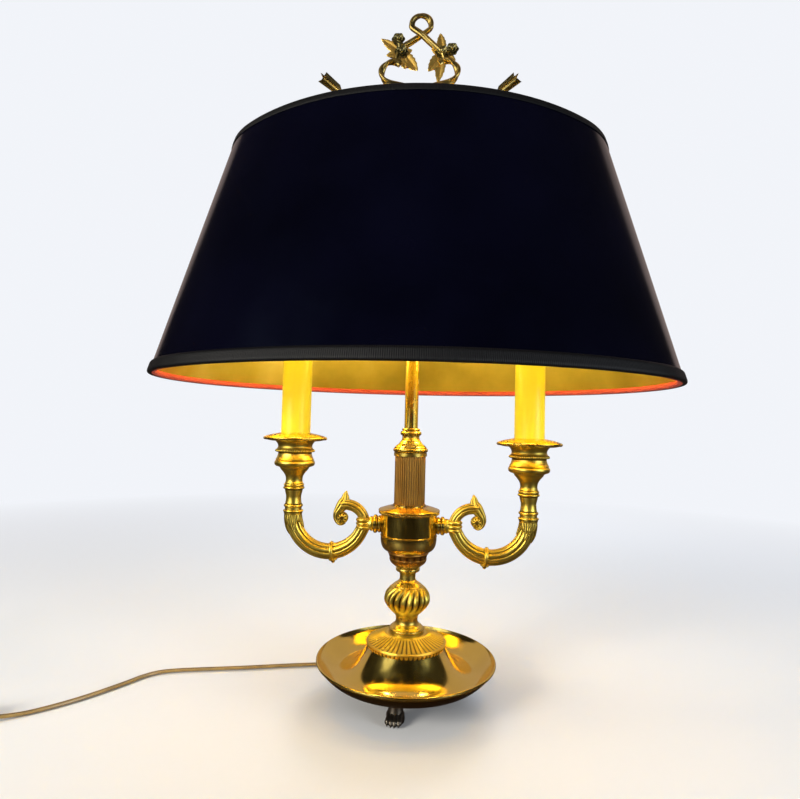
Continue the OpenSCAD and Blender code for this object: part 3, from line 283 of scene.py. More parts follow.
cord_line = np.vstack([smooth_line(CORD_ROUTE, 5)[:-1], coil_line(420), CORD_TAIL])
cord_section = twin_section(7)
cord_grid = carried(cord_line, cord_section, side=np.cross([0, 0, 1.0], np.gradient(cord_line, axis=0)))
flex = flex_vinyl()
# The groove between the two cores is given painted shade.
cord = placed("flex", surface(cord_grid, painted_shade=np.abs(cord_section[:, 0]) < 0.6), "flex", flex, "cord",
              "cord_coil")

# ---- Strain relief ----
# Moulded sleeve, widest where it is screwed into the stem tube, that lets the flex out downwards.
# Three shallow rings round it let it bend.

RELIEF_LINE = np.array([[0, 0, 36.5], [0, 0.1, 29], [0, 0.2, 23], CORD_EXIT])


def tapered(line, radius, sides, **how):
    """Circle of a changing radius carried along a line."""
    return carried(line, np.reshape(radius, (-1, 1, 1)) * circle(sides), **how)


def ringed_sleeve():
    """Circle carried down the line; radius falls evenly from 4.7 to 2.6 and dips at each ring groove."""
    line = smooth_line(RELIEF_LINE, 16)
    share = np.linspace(0, 1, len(line))
    radius = 4.7 - 2.1 * share - 0.35 * (np.sin(share * 6 * math.pi) > 0.75)
    return surface(tapered(line, radius, 24, side=(1, 0, 0)))


flex_sleeve = placed("flex_sleeve", ringed_sleeve(), "flex", flex, "strain_relief")

# ---- Switch and plug ----
# Brown thermoplastic: a two-part inline switch with a rocker, and a moulded two-pin plug. The pins
# are set in the plug's face, and the surface has a fine spark-eroded grain.

PLUG_LENGTH = 33.8
PLUG_NECK = 3.6
PLUG_HALF = np.array([16.0, 6.7])  # half its width and height at the pin face


def moulded_plastic(name, colour, roughness):
    """Moulding with a fine grain and a slight unevenness of colour and gloss."""
    material, tree = new_material(name)
    mottle = noise(tree, 140, 4)
    return finished(material, Specular_IOR_Level=0.45,
                    Base_Color=toned(tree, mottle, (0.25, *(0.7 * colour)), (0.75, *(1.25 * colour))),
                    Roughness=ranged(tree, mottle, 0.2, 0.8, roughness - 0.06, roughness + 0.1),
                    Normal=bumped(tree, noise(tree, 2600, 2), 0.25, 0.0001))


def dressed(material, *nodes):
    """CAD solids kept as they are, with a material of their own."""
    for node in nodes:
        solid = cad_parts[node].data
        solid.materials.clear()
        solid.materials.append(material)


def plug_grid(columns):
    """Rounded oblong of |cos|^0.6 and |sin|^0.6 that swells by a cosine from the flex to the pin face,
    where its edge is drawn in by a tenth."""
    share = np.linspace(0, 1, 14)[:, None, None]
    swell = (1 - np.cos(held((share - 0.12) / 0.5) * math.pi)) / 2
    half = (PLUG_NECK + (PLUG_HALF - PLUG_NECK) * swell) * np.where(share > 0.93, 0.9, 1.0)
    ring = circle(columns)
    oblong = np.sign(ring) * np.abs(ring) ** 0.6
    along = np.broadcast_to(PLUG_LENGTH * share + 0.1, (len(share), columns, 1))
    return PLUG_PLACE + np.concatenate([along, half * oblong], -1)


casing = moulded_plastic("brown_casing", np.array([0.05, 0.03, 0.02]), 0.38)
dressed(casing, "switch_body")
dressed(moulded_plastic("rocker", np.array([0.09, 0.06, 0.04]), 0.3), "switch_rocker")
plug = placed("plug", surface(plug_grid(40)), "fitting_plastic", casing, "plug_body")

# ---- Room ----
# Plain pale floor that fades into an even pale surround, a large soft lamp on each side and one behind.
# Seen only in reflections: a dark curved screen before the lamp, and a browner floor and dimmer world.

FLOOR_REACH = 6
FLOOR_SINK = 0.0002
FLOOR_COLOUR = (0.78, 0.77, 0.75, 1)
FLOOR_REFLECTED = (0.05, 0.026, 0.012, 1)
SURROUND = (0.885, 0.905, 0.95, 1)
SURROUND_DIFFUSE = (0.43, 0.44, 0.47, 1)
SURROUND_REFLECTED = (0.44, 0.34, 0.31, 1)
SCREEN_PROFILE = ((0.5, 0.0), (0.5, 0.7), (0.24, 0.98))
SCREEN_STEPS = 40


def soft_lamp(name, place, aim_height, size, power, colour):
    """Square area lamp at a place, turned to face a point on the lamp's axis."""
    lamp = bpy.data.objects.new(name, bpy.data.lights.new(name, "AREA"))
    lamp.data.size = size
    lamp.data.energy = power
    lamp.data.color = colour
    backward = unit(np.array(place) - [0, 0, aim_height])
    right = unit(np.cross([0, 0, 1.0], backward))
    return aimed(lamp, place, right, np.cross(backward, right))


def sheet_of(name, corners, faces, material):
    """Bare sheet that belongs to the room only."""
    mesh = bpy.data.meshes.new(name)
    mesh.from_pydata(corners, [], faces)
    mesh.materials.append(material)
    sheet = bpy.data.objects.new(name, mesh)
    bpy.context.scene.collection.objects.link(sheet)
    return sheet


def floor_paint():
    """Matt pale paint, browner in reflections; from 0.45 m off the lamp it passes into the surround."""
    material, tree = new_material("floor_paint")
    rays = put(tree, "LightPath").node.outputs
    tone = put(tree, "MixRGB", rays["Is Glossy Ray"], FLOOR_COLOUR, FLOOR_REFLECTED)
    finished(material, Base_Color=tone, Roughness=0.6)
    away = put(tree, "VectorMath", put(tree, "TexCoord", out="Object"), operation="LENGTH", out="Value")
    seen = put(tree, "Math", ranged(tree, away, 0.45, 1.5), rays["Is Camera Ray"], operation="MULTIPLY")
    paint, glow = tree.nodes["Principled BSDF"].outputs[0], put(tree, "Emission", SURROUND)
    fed(tree, tree.nodes["Material Output"], Surface=put(tree, "MixShader", seen, paint, glow))
    return material


floor_corners = [(x * FLOOR_REACH, y * FLOOR_REACH, -FLOOR_SINK)
                 for x, y in ((-1, -1), (1, -1), (1, 1), (-1, 1))]
sheet_of("floor", floor_corners, [(0, 1, 2, 3)], floor_paint())
screen_cloth = finished(new_material("screen_cloth")[0], Base_Color=(0.012, 0.009, 0.007, 1), Roughness=0.9)
screen_line = np.radians(np.linspace(-202, 22, SCREEN_STEPS))
screen_corners = [(r * math.cos(a), r * math.sin(a), z) for r, z in SCREEN_PROFILE for a in screen_line]
screen_faces = [(i, i + 1, i + SCREEN_STEPS + 1, i + SCREEN_STEPS) for i in range(2 * SCREEN_STEPS - 1)
                if i != SCREEN_STEPS - 1]
screen = sheet_of("screen", screen_corners, screen_faces, screen_cloth)
screen.visible_camera = screen.visible_diffuse = screen.visible_shadow = screen.visible_transmission = False
soft_lamp("key", (-1.3, -1.3, 0.8), 0.25, 0.7, 34, (1.0, 0.97, 0.9))
soft_lamp("fill", (1.4, -0.9, 0.55), 0.25, 0.6, 12, (0.85, 0.92, 1.0))
soft_lamp("rim", (0.3, 1.3, 1.1), 0.3, 0.8, 14, (0.78, 0.87, 1.0)).visible_glossy = False
world = bpy.data.worlds.new("world")
world.use_nodes = True
bpy.context.scene.world = world
air = world.node_tree
rays = put(air, "LightPath").node.outputs
through = put(air, "Math", rays["Is Camera Ray"], rays["Is Transmission Ray"], operation="MAXIMUM")
lit = put(air, "MixRGB", rays["Is Glossy Ray"], SURROUND_DIFFUSE, SURROUND_REFLECTED)
fed(air, air.nodes["Background"], Color=put(air, "MixRGB", through, lit, SURROUND))
bpy.context.scene.view_settings.view_transform = "Standard"

# ---- Dish ----
# Spun sheet brass, polished: a raised boss, a trough round it and a thin rolled rim.
# The stem's tube clamps it to the weight and washer inside the boss.


def corners_of(node):
    """Lowest and highest corner of a solid, in mm."""
    return [np.array(corner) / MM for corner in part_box(node)]


DISH_LOW, DISH_HIGH = corners_of("base_dish")
DISH_RADIUS = (DISH_HIGH[0] - DISH_LOW[0]) / 2
DISH_SHEET = 1.5
DISH_BOSS_RADIUS = 33.0
DISH_TROUGH_RADIUS = 60.0
DISH_RIM_RISE = 13.8
DISH_ROLL = 1.2
ROLL_POINTS = 13
STEM_BORE = 5.1


def hollows(line):
    """How sharply a line turns inwards at each point, from 0 to 1, spread to its neighbours; turned pieces
    take it as painted shade in their hollows.
    """
    step = np.gradient(line, axis=0)
    inward = held(-np.gradient(np.unwrap(np.arctan2(step[:, 1], step[:, 0]))) / 0.3)
    return np.maximum(inward, np.convolve(np.pad(inward, 1, mode="edge"), [0.25, 0.5, 0.25], "valid"))


def turned(line, origin=(0, 0, 0), axis=(0, 0, 1), steps=160, relief=None, painted_shade=None, **how):
    """Line of (radius, distance) turned about an axis: origin + h k + r (u cos a + v sin a). From the row,
    the angle and the line's painted shade (by default how sharply it turns inwards), relief gives the
    way out along the line's normal, and the painted shade."""
    line, angle = np.array(line, float), turns(steps)
    moved, depth = 0, (hollows(line) if painted_shade is None else painted_shade)[:, None]
    if relief:
        moved, depth = relief(np.arange(len(line))[:, None], angle, depth)
    along = unit(np.gradient(line, axis=0))
    radius, height = line[:, :1] + along[:, 1:] * moved, line[:, 1:] - along[:, :1] * moved
    k = np.array(axis, float)
    u = unit(np.cross([0, 1.0, 0], k)) if abs(k[1]) < 0.9 else np.array([1.0, 0, 0])
    flat = (radius * np.cos(angle))[..., None] * u + (radius * np.sin(angle))[..., None] * np.cross(k, u)
    return surface(np.array(origin, float) + height[..., None] * k + flat, painted_shade=depth, **how)


def arc(middle, radius, start, stop, points=9):
    """Points on a circle between two directions in degrees."""
    return middle + radius * around(np.radians(np.linspace(start, stop, points)))


def bead(radius, low, thick, points=9):
    """Half-round moulding whose outside reaches the radius, from low to low + thick."""
    return arc((radius - thick / 2, low + thick / 2), thick / 2, -90, 90, points)


def flowing(*points, steps=5):
    """Smooth curve through the points."""
    return smooth_line(np.array(points, float), steps)


def dish_height(radius):
    """Boss, then (1 + cos pi u^0.54) / 2 of its height down to the trough, u being the share of the
    way, then a power curve of 1.7 up to the rim."""
    floor = DISH_LOW[2] + DISH_SHEET
    boss = DISH_HIGH[2] - floor
    down = held((radius - DISH_BOSS_RADIUS) / (DISH_TROUGH_RADIUS - DISH_BOSS_RADIUS))
    up = np.clip((radius - DISH_TROUGH_RADIUS) / (DISH_RADIUS - DISH_TROUGH_RADIUS), 0, None)
    fall = boss * (1 + np.cos(math.pi * down**0.54)) / 2
    return floor + np.where(radius <= DISH_TROUGH_RADIUS, fall, DISH_RIM_RISE * up**1.7)


def brass(name, bright, dark, roughness, grain, relief, tarnish):
    """Brass whose colour and gloss fall from bright to dark with painted shade in hollows and under
    things, and in soft tarnished clouds.
    """
    material, tree = new_material(name)
    painted_shade = put(tree, "Attribute", attribute_name="painted_shade", out="Fac")
    clouds = ranged(tree, noise(tree, 26, 5), 0.42, 0.72)
    film = put(tree, "Math", clouds, tarnish, operation="MULTIPLY")
    # Painted shade from the mesh, plus the tarnish clouds.
    shade_and_tarnish = put(tree, "Math", painted_shade, film, operation="ADD", use_clamp=True)
    smear = put(tree, "Math", noise(tree, 160, 3, (1, 1, 0.35)), shade_and_tarnish, operation="ADD")
    middle = [(b + d) / 2 for b, d in zip(bright, dark)]
    colour = toned(tree, shade_and_tarnish, (0, *bright), (0.5, *middle), (1, *dark))
    return finished(material, Metallic=1.0, Base_Color=colour,
                    Roughness=ranged(tree, smear, 0.3, 1.4, roughness, roughness + 0.22),
                    Normal=bumped(tree, noise(tree, grain, 4), relief, 0.0003))


polished = brass("polished_brass", (0.97, 0.73, 0.17), (0.12, 0.05, 0.008), 0.1, 900, 0.02, 0.1)
top_radius = np.concatenate([
    [STEM_BORE, 24], np.linspace(DISH_BOSS_RADIUS, DISH_TROUGH_RADIUS, 26),
    np.linspace(DISH_TROUGH_RADIUS, DISH_RADIUS - 1, 14)[1:-1]])
dish_top = np.stack([top_radius, dish_height(top_radius)], -1)
roll_at = np.array([DISH_RADIUS - DISH_ROLL, dish_height(DISH_RADIUS - 1) - 0.3])
dish_line = np.vstack([dish_top, arc(roll_at, DISH_ROLL, 100, -110, ROLL_POINTS),
                       dish_top[::-1] - [0, DISH_SHEET]])
# Painted shade: faint in the dish's hollows and heavy all over its underside.
dish_painted_shade = np.concatenate([0.15 * hollows(dish_top), np.zeros(ROLL_POINTS), np.full(len(dish_top), 0.9)])
placed("dish", turned(dish_line, steps=240, painted_shade=dish_painted_shade, closed=True), "polished_brass", polished,
       "base_dish")

# ---- Feet ----
# Cast bronze lion's paws, dark: four jointed toes with claws before a pad, under a short leg with a
# collar. Each is screwed to the dish from below.

PAW_RING = 45.0
PAW_FRONT_ANGLE = 263
ANKLE = -3
TOE_APART = 3.0
bronze = brass("dark_bronze", (0.22, 0.19, 0.15), (0.022, 0.018, 0.014), 0.3, 1300, 0.3, 0.8)


def toe(across, lead):
    """Circle carried over a bowed line from the pad to the ground; its radius swells at two knuckles
    as 2.3 + 0.5 sin, and shrinks to the claw's root."""
    line = flowing([-4, across, 6.5], [lead - 4.5, across, 6.2], [lead - 1.5, across, 5.4],
                   [lead + 1, across, 3.4], [lead + 2.4, across, 2.2])
    share = np.linspace(0, 1, len(line))
    knuckles = 2.3 + 0.5 * np.sin(2 * math.pi * (share * 1.5 + 0.1))
    return tapered(line, knuckles * (1 - 0.45 * share**4), 18)


def claw(across, lead):
    """Circle that shrinks from 1.5 to nothing as the square root of what is left, down to the ground."""
    line = flowing([lead + 0.6, across, 4.4], [lead + 2.3, across, 3.5], [lead + 3.1, across, 1.2], steps=6)
    return tapered(line, 1.5 * np.sqrt(1.02 - np.linspace(0, 1, len(line))), 12)


def leg():
    """Line turned about the paw's ankle: pad, waist, collar and a shank that runs up to the dish."""
    curve = flowing([7.1, 0.4], [7.5, 2.6], [7.2, 5.4], [6.3, 8], [5.6, 12], [5.5, 15])
    line = np.vstack([[0, 0], [6.4, 0], curve, bead(7, 15, 3), [5.5, 18.2], [5.3, 24], [5.4, 32],
                      [5.4, 45], [0, 45]])
    ring = circle(48)
    flat = line[:, None, :1] * ring + [ANKLE, 0]
    return np.concatenate([flat, np.repeat(line[:, None, 1:], len(ring), 1)], -1)


def joined(meshes):
    """One mesh that holds several, with their UV and hollow kept."""
    whole = bmesh.new()
    for mesh in meshes:
        whole.from_mesh(mesh)
        bpy.data.meshes.remove(mesh)
    mesh = bpy.data.meshes.new("joined")
    whole.to_mesh(mesh)
    whole.free()
    return mesh


def paw(heading):
    """Toes, claws and leg turned to the heading, with every point held between the table and the dish."""
    parts = [leg()]
    for place in (-1.5, -0.5, 0.5, 1.5):
        across, lead = TOE_APART * place, 7.5 - abs(place) * 1.2
        parts += [toe(across, lead), claw(across, lead)]
    cos, sin = around(math.radians(heading))
    meshes = []
    for part in parts:
        grid = (part + [PAW_RING, 0, 0]) @ np.array([[cos, sin, 0], [-sin, cos, 0], [0, 0, 1]])
        roof = dish_height(np.hypot(grid[..., 0], grid[..., 1])) - DISH_SHEET + 0.15
        grid[..., 2] = np.clip(grid[..., 2], 0, roof)
        meshes.append(surface(grid))
    return joined(meshes)


for hand, turn in (("front", 0), ("right", 120), ("left", -120)):
    placed("paw_" + hand, paw(PAW_FRONT_ANGLE + turn), "dark_bronze", bronze, "paw_foot_" + hand)

# ---- Turned stem pieces ----
# Brass turnings with a soft polish, threaded on the stem tube: the foot with its flared rim, the
# knop's plain cap, and the neck with its rings.

soft = brass("soft_brass", (1.0, 0.75, 0.15), (0.16, 0.07, 0.01), 0.22, 1200, 0.03, 0.15)


def lathe(piece, node, material, *stretches, lift=0.0, slot="polished_brass", **how):
    """Turned piece: stretches of (radius, height above the solid's foot) make a line that starts and
    ends on the axis."""
    line = np.vstack(stretches) + [0, corners_of(node)[0][2] + lift]
    line = np.vstack([[0, line[0, 1]], line, [0, line[-1, 1]]])
    placed(piece, turned(line, **how), slot, material, node)


def notched_ring(first, last, count, depth):
    """Relief of small round notches on the rows first to last: sunk by depth * (1 - |sin|)^1.5, with
    painted shade in them.
    """
    def relief(row, angle, painted_shade):
        notch = (1 - np.abs(np.sin(count * angle / 2))) ** 1.5 * ((row >= first) & (row <= last))
        return -depth * notch, held(notch * 0.9 + painted_shade)
    return relief


lathe("stem_foot_turning", "stem_foot", soft, [15, 0], [15, 3.8], bead(15.4, 4, 2.2), [14.8, 6.2],
      flowing([14.3, 6.5], [13, 7.8], [11, 9.3], [9.9, 10.8], [9.5, 12.8], [9.8, 15.7], [10.2, 17.1]))
lathe("knop_cap_turning", "knop_cap", soft,
      flowing([13.26, 0], [12.56, 1.0], [10.76, 2.35], [8.76, 3.7], [7, 5.6]))
lathe("neck_turning", "waisted_neck", soft, flowing([7, 0], [6.9, 4], [7.4, 5.6], [8.6, 6.4]),
      bead(10.6, 6.7, 4, 15), [9.4, 10.8], bead(11.7, 11, 2.4), steps=288,
      relief=notched_ring(30, 41, 36, 0.5))

# ---- Fluted collar ----
# Gilt casting set on the boss: a low cone of radial flutes, a thin rim and a skirt of small leaf
# tongues under it.

COLLAR_FLUTES = 48
COLLAR_TONGUES = 56
SKIRT_ROWS = 9
RIM_ROWS = 7
gilt = brass("gilt_casting", (1.0, 0.76, 0.13), (0.085, 0.032, 0.004), 0.29, 1500, 0.05, 0.22)
collar_skirt = np.linspace([33.2, 0.05], [33.6, 2.6], SKIRT_ROWS)
collar_cone = flowing([33.8, 4.5], [29, 6.1], [23.5, 8.2], [18.4, 10.4], steps=7)


def collar_relief(row, angle, painted_shade):
    """Flutes are sunk by (1 - |cos|)^0.8 on the cone; tongues stand out as arches |sin|^0.6 below it.
    The flutes and the gaps between tongues get painted shade.
    """
    low = 2 + SKIRT_ROWS + RIM_ROWS
    cone = held(np.minimum(row - low, low + len(collar_cone) - row) / 2.5)
    flute = (1 - np.abs(np.cos(COLLAR_FLUTES * angle / 2))) ** 0.8
    skirt = (row >= 2) & (row < 2 + SKIRT_ROWS)
    arch = np.abs(np.sin(COLLAR_TONGUES * angle / 2)) ** 0.6
    height = held((row - 2) / SKIRT_ROWS)
    tongue = held(arch * 1.3 - 0.75 * (1 - height) ** 2) * skirt
    sunk = flute**2 * cone + (1 - tongue) * skirt + 0.6 * painted_shade
    return 0.9 * tongue - 1.1 * flute * cone, held(sunk)


lathe("collar_casting", "fluted_collar", gilt, [33, 0], collar_skirt, bead(34.8, 2.5, 1.8, RIM_ROWS),
      collar_cone, [17, 11.1], [16.2, 11.3], [15.2, 11.3], [15.1, 9.1], slot="cast_gilt_brass",
      relief=collar_relief, steps=8 * COLLAR_FLUTES)

# ---- Gadrooned knop ----
# Gilt casting: a ball of slanting lobes, round-headed above and below, between plain ends. It is
# clamped between the stem's foot and the knop's cap.

GADROONS = 20
KNOP_LOW, KNOP_HIGH = corners_of("gadrooned_knop")
KNOP_RADIUS = (KNOP_HIGH[0] - KNOP_LOW[0]) / 2
KNOP_FOOT = 10.2
KNOP_CROWN = 13.26
KNOP_WAIST = 0.56
KNOP_SWIRL = math.radians(30)


def gadrooned_ball(rows, columns):
    """Radius swells by a sine to the middle and shrinks by a cosine above it, times lobes
    1 - d (1 - |sin|)^0.7 whose phase turns with height; d fades to nothing at both ends. The grooves
    between the lobes get painted shade."""
    share = (1 - np.cos(np.linspace(0, math.pi, rows)))[:, None] / 2
    angle = turns(columns)
    below = np.sin(held(share / KNOP_WAIST) * math.pi / 2)
    above = np.cos(held((share - KNOP_WAIST) / (1 - KNOP_WAIST)) * math.pi / 2)
    form = np.where(share < KNOP_WAIST, KNOP_FOOT + (KNOP_RADIUS - KNOP_FOOT) * below**1.05,
                    KNOP_CROWN + (KNOP_RADIUS - KNOP_CROWN) * held(above) ** 0.7)
    fade = held(np.sin(math.pi * held((share - 0.2) / 0.78))) ** 0.4
    cut = (1 - np.abs(np.sin(GADROONS * angle / 2))) ** 0.7 * fade
    turn = angle + KNOP_SWIRL * (share - 0.5 + 0.12 * np.sin(2 * math.pi * share))
    height = KNOP_LOW[2] + (KNOP_HIGH[2] - KNOP_LOW[2]) * share + 0 * turn
    grid = np.dstack([(form * (1 - 0.115 * cut))[..., None] * around(turn), height])
    return surface(grid, painted_shade=held(1.5 * cut**1.6 - 0.1))


placed("knop_casting", gadrooned_ball(48, 16 * GADROONS), "cast_gilt_brass", gilt, "gadrooned_knop")

# ---- Leaf cup ----
# Satin, reddish casting under the drum: sixteen overlapping leaves below a small ring. It is held
# between the neck and the drum's bowl.

CUP_LEAVES = 16
satin = brass("satin_brass", (0.66, 0.36, 0.08), (0.12, 0.05, 0.01), 0.28, 1800, 0.2, 0.5)
cup_side = flowing([13, 0.05], [15, 2.2], [16.1, 5.2], [17.1, 8.6], steps=7)


def leaf_relief(row, angle, painted_shade):
    """Two rows of leaves, half a leaf apart: |cos|^0.6 arches whose tips fall with the row, and midribs;
    painted shade lies between the leaf tips.
    """
    field = (row >= 2) & (row < 2 + len(cup_side))
    climb = held((row - 2) / len(cup_side))
    front, back = np.abs(around(CUP_LEAVES * angle / 2)).T
    tip_front = held((1.1 - climb) * 3 - 1.6 * (1 - front**0.6)) * (climb < 0.62)
    tip_back = held(back**0.6 - 0.2)
    rib = 0.35 * (front > 0.985) + 0.35 * (back > 0.985) * (climb > 0.5)
    sunk = (1 - held(tip_front + 0.8 * tip_back)) * field
    return (0.9 * tip_front + 0.6 * tip_back + rib - 0.7) * field, held(sunk + painted_shade * 0.7)


lathe("leaf_cup_casting", "leaf_cup", satin, [12.9, 0], cup_side, bead(18, 8.7, 2.2), slot="satin_brass",
      relief=leaf_relief, steps=16 * CUP_LEAVES)

# ---- Drum ----
# Mirror-polished turned case of three pieces, bowl, body and lid, with a seam ring at each joint.
# The lid's lower lip is a row of fine beads.

DRUM_BEADS = 90
LID_SPIGOT = 2.5


def bead_row(first, last, count, height):
    """Relief of round beads on the rows first to last: height * |sin|^0.7, with painted shade between them.
    """
    def relief(row, angle, painted_shade):
        band = (row >= first) & (row <= last)
        crest = np.abs(np.sin(count * angle / 2)) ** 0.7
        return height * (crest - 0.6) * band, held((1 - crest) * band + painted_shade)
    return relief


lathe("bowl_turning", "drum_bowl", polished,
      flowing([17.6, 0], [19.6, 0.7], [21.5, 1.9], [23.1, 3.9], [24.1, 6.7], [24.6, 9.9]), [24.6, 13.1],
      bead(25, 13.3, 1.2, 7), steps=240)
lathe("drum_turning", "drum_body", polished, [24.3, 0], [24.6, 0.3], [24.6, 9], [24.6, 17.9], [24.3, 18.2],
      steps=240)
lathe("lid_turning", "drum_lid", polished, [22, -LID_SPIGOT], [22, 0], bead(26.6, 0, 1.8),
      bead(27.1, 1.9, 1.9), [26, 3.9], flowing([25.6, 4.0], [23.9, 4.6], [20.1, 5.8], [16.6, 6.6]),
      [14.9, 6.9], [14.6, 7.1], [14.5, 8], lift=LID_SPIGOT, relief=bead_row(4, 10, DRUM_BEADS, 0.7),
      steps=6 * DRUM_BEADS)

# ---- Column, cap and rod ----
# Satin column milled with forty fine reeds, an ogee cap and a plain rod, both with a soft polish.
# The rod's thinner lower end runs down through the cap and the column.

COLUMN_REEDS = 40
column_low, column_high = corners_of("reeded_column")
rod_low, rod_high = corners_of("shade_rod")
rod_length = rod_high[2] - rod_low[2]


def reed_relief(row, angle, painted_shade):
    """Half-round reeds: the surface falls by 1 - sqrt(1 - x^2), x being the place across a reed; the
    grooves get painted shade.
    """
    across = (angle * COLUMN_REEDS / math.pi) % 2 - 1
    fall = 1 - np.sqrt(1 - 0.96 * across**2)
    side = (row >= 1) & (row <= len(row) - 2)
    return -1.05 * fall * side, held(fall**1.5 * 1.1)


column_side = np.linspace([column_high[0], 0], [column_high[0], column_high[2] - column_low[2]], 9)
lathe("column_milling", "reeded_column", satin, column_side, slot="satin_brass", relief=reed_relief,
      steps=12 * COLUMN_REEDS, sharp=70)
lathe("cap_turning", "column_cap", soft, [14.6, 0], [14.6, 2.9], bead(15.4, 3.1, 4.4, 15), [14.3, 7.6],
      flowing([14.0, 7.8], [13, 9], [10.6, 10.8], [9.4, 12.6], [8.2, 14], [7.6, 16.4], [7.7, 18]),
      bead(9.4, 18.1, 4, 13), bead(8, 22.3, 2.2))
lathe("rod", "shade_rod", soft, [5, 0], [5, 79.6], [6, 80], [6, 200], [6, rod_length - 0.5],
      [5.5, rod_length], steps=64)

# ---- Arms ----
# Two gilt castings, one the mirror image of the other: a reeded bend that carries the candle, a
# smaller scroll with a leafy volute, and three hoops that bind both to the boss on the spindle.

HANDS = (("left", -1), ("right", 1))
ARM_REACH = 104.0
BINDING_X = 39.6
SPINDLE_LEVEL = 148.0
SPINDLE_END = 31.8
ARM_RADIUS = 7.0
ARM_REEDS = 8
REED_POINTS = 10
BEND_RADIUS = (ARM_REACH - BINDING_X - 4) / (1 + math.cos(math.radians(30)))
BEND_MIDDLE = np.array([ARM_REACH - BEND_RADIUS, SPINDLE_LEVEL - 9.6 + BEND_RADIUS / 2])
BAND_DIRECTION = -97
SHEATH_INSIDE = 6.2
SCROLL_RADIUS = 17.4
SCROLL_START = 163
SCROLL_THICK = 5.0
SCROLL_MIDDLE = [BINDING_X, SPINDLE_LEVEL + 3.6] - SCROLL_RADIUS * around(math.radians(SCROLL_START))
VOLUTE = np.array([SCROLL_MIDDLE[0] + 3, 0, SPINDLE_LEVEL + 4.4])
VOLUTE_LEAF = np.array([  # across, up, depth and width of the leaf from its tip to its curl
    [-3, 23.6, 1, 1], [-2.3, 20.1, 3.6, 5.2], [-2, 16.4, 6.4, 8], [-0.4, 12.6, 9, 10], [2, 8.6, 10.4, 9.6],
    [4.8, 4.6, 11.4, 6.8], [5.8, 0.4, 10.6, 5.2], [4.4, -3.6, 9.4, 4], [1.2, -5.8, 7.6, 2.8],
    [-2.4, -4.8, 5, 1.6]])


def in_plane(flat):
    """Points of (x, z) set in the plane of the arms."""
    return np.insert(np.array(flat, float), 1, 0, -1)


def strand(line, radius, swell):
    """Section of convex reeds, r (0.8 + 0.2 sqrt(1 - x^2)) with x the place across a reed, carried along
    a line of (x, z) and scaled by swell; with painted shade by how deep each point lies in the groove
    beside it."""
    turn = np.arange(ARM_REEDS * REED_POINTS) / REED_POINTS
    crown = np.sqrt(1 - 0.98 * (2 * (turn % 1) - 1) ** 2)
    section = radius * (0.8 + 0.2 * crown)[:, None] * around(2 * math.pi * turn / ARM_REEDS)
    return carried(in_plane(line), swell[:, None, None] * section), (1 - crown) ** 1.3


def leaf_sheath(columns):
    """Four acanthus leaves round the top of the bend: each ends where the arm's angle is 13 + 15 t
    degrees down, t = (1 + cos 4a) / 2, and lifts off the arm by its tip; fine veins run down it, with
    painted shade between them and all over its inside."""
    turn = turns(columns)
    tip = 0.5 + 0.5 * np.cos(4 * turn)
    down = np.linspace(0, 1, 14)[:, None]
    veins = np.abs(np.sin(9 * turn + 3 * np.sin(4 * turn) * down))
    ridge = 0.75 * veins**0.7 * (0.4 + 0.6 * np.sin(2.4 * down + 0.4))
    lifted = ARM_RADIUS + 0.4 + ridge + 0.45 * tip * down**2 - 0.7 * down**8
    bend = -np.radians(down * (13 + 15 * tip))
    bend = np.vstack([bend, bend[:0:-1]])
    inner = np.ones((len(down) - 1, columns))
    radius = np.vstack([lifted, SHEATH_INSIDE * inner])
    out = in_plane(around(bend))
    side = np.cos(turn)[:, None] * [0, 1, 0] + np.sin(turn)[:, None] * out
    grid = in_plane(BEND_MIDDLE) + BEND_RADIUS * out + radius[..., None] * side
    return grid, np.vstack([0.9 * (1 - veins), inner])


def volute_leaf():
    """Ribbed oval carried down the leaf's spine: 1 - 0.18 (1 - |cos 4a|) round, its depth and width
    smoothed through the listed ones; the grooves between the ribs get painted shade."""
    smooth = smooth_line(VOLUTE_LEAF, 5)
    turn = turns(64)
    rib = 1 - np.abs(np.cos(4 * turn))
    oval = (1 - 0.18 * rib)[:, None] * around(turn)
    return carried(VOLUTE + in_plane(smooth[:, :2]), oval * smooth[:, None, 2:] / 2), rib**1.5


def rosette(row, angle, painted_shade):
    """Eight petals are cut between the poles and the shoulder of the ball, 0.55 (1 - |cos 4a|) deep; the
    cuts and the poles get painted shade.
    """
    off = np.abs(row - (len(row) - 1) / 2) / len(row)
    petal = (1 - np.abs(np.cos(4 * angle))) * (off > 0.18) * (off < 0.4)
    return -0.55 * petal, held(petal + (off > 0.4) * 0.8)


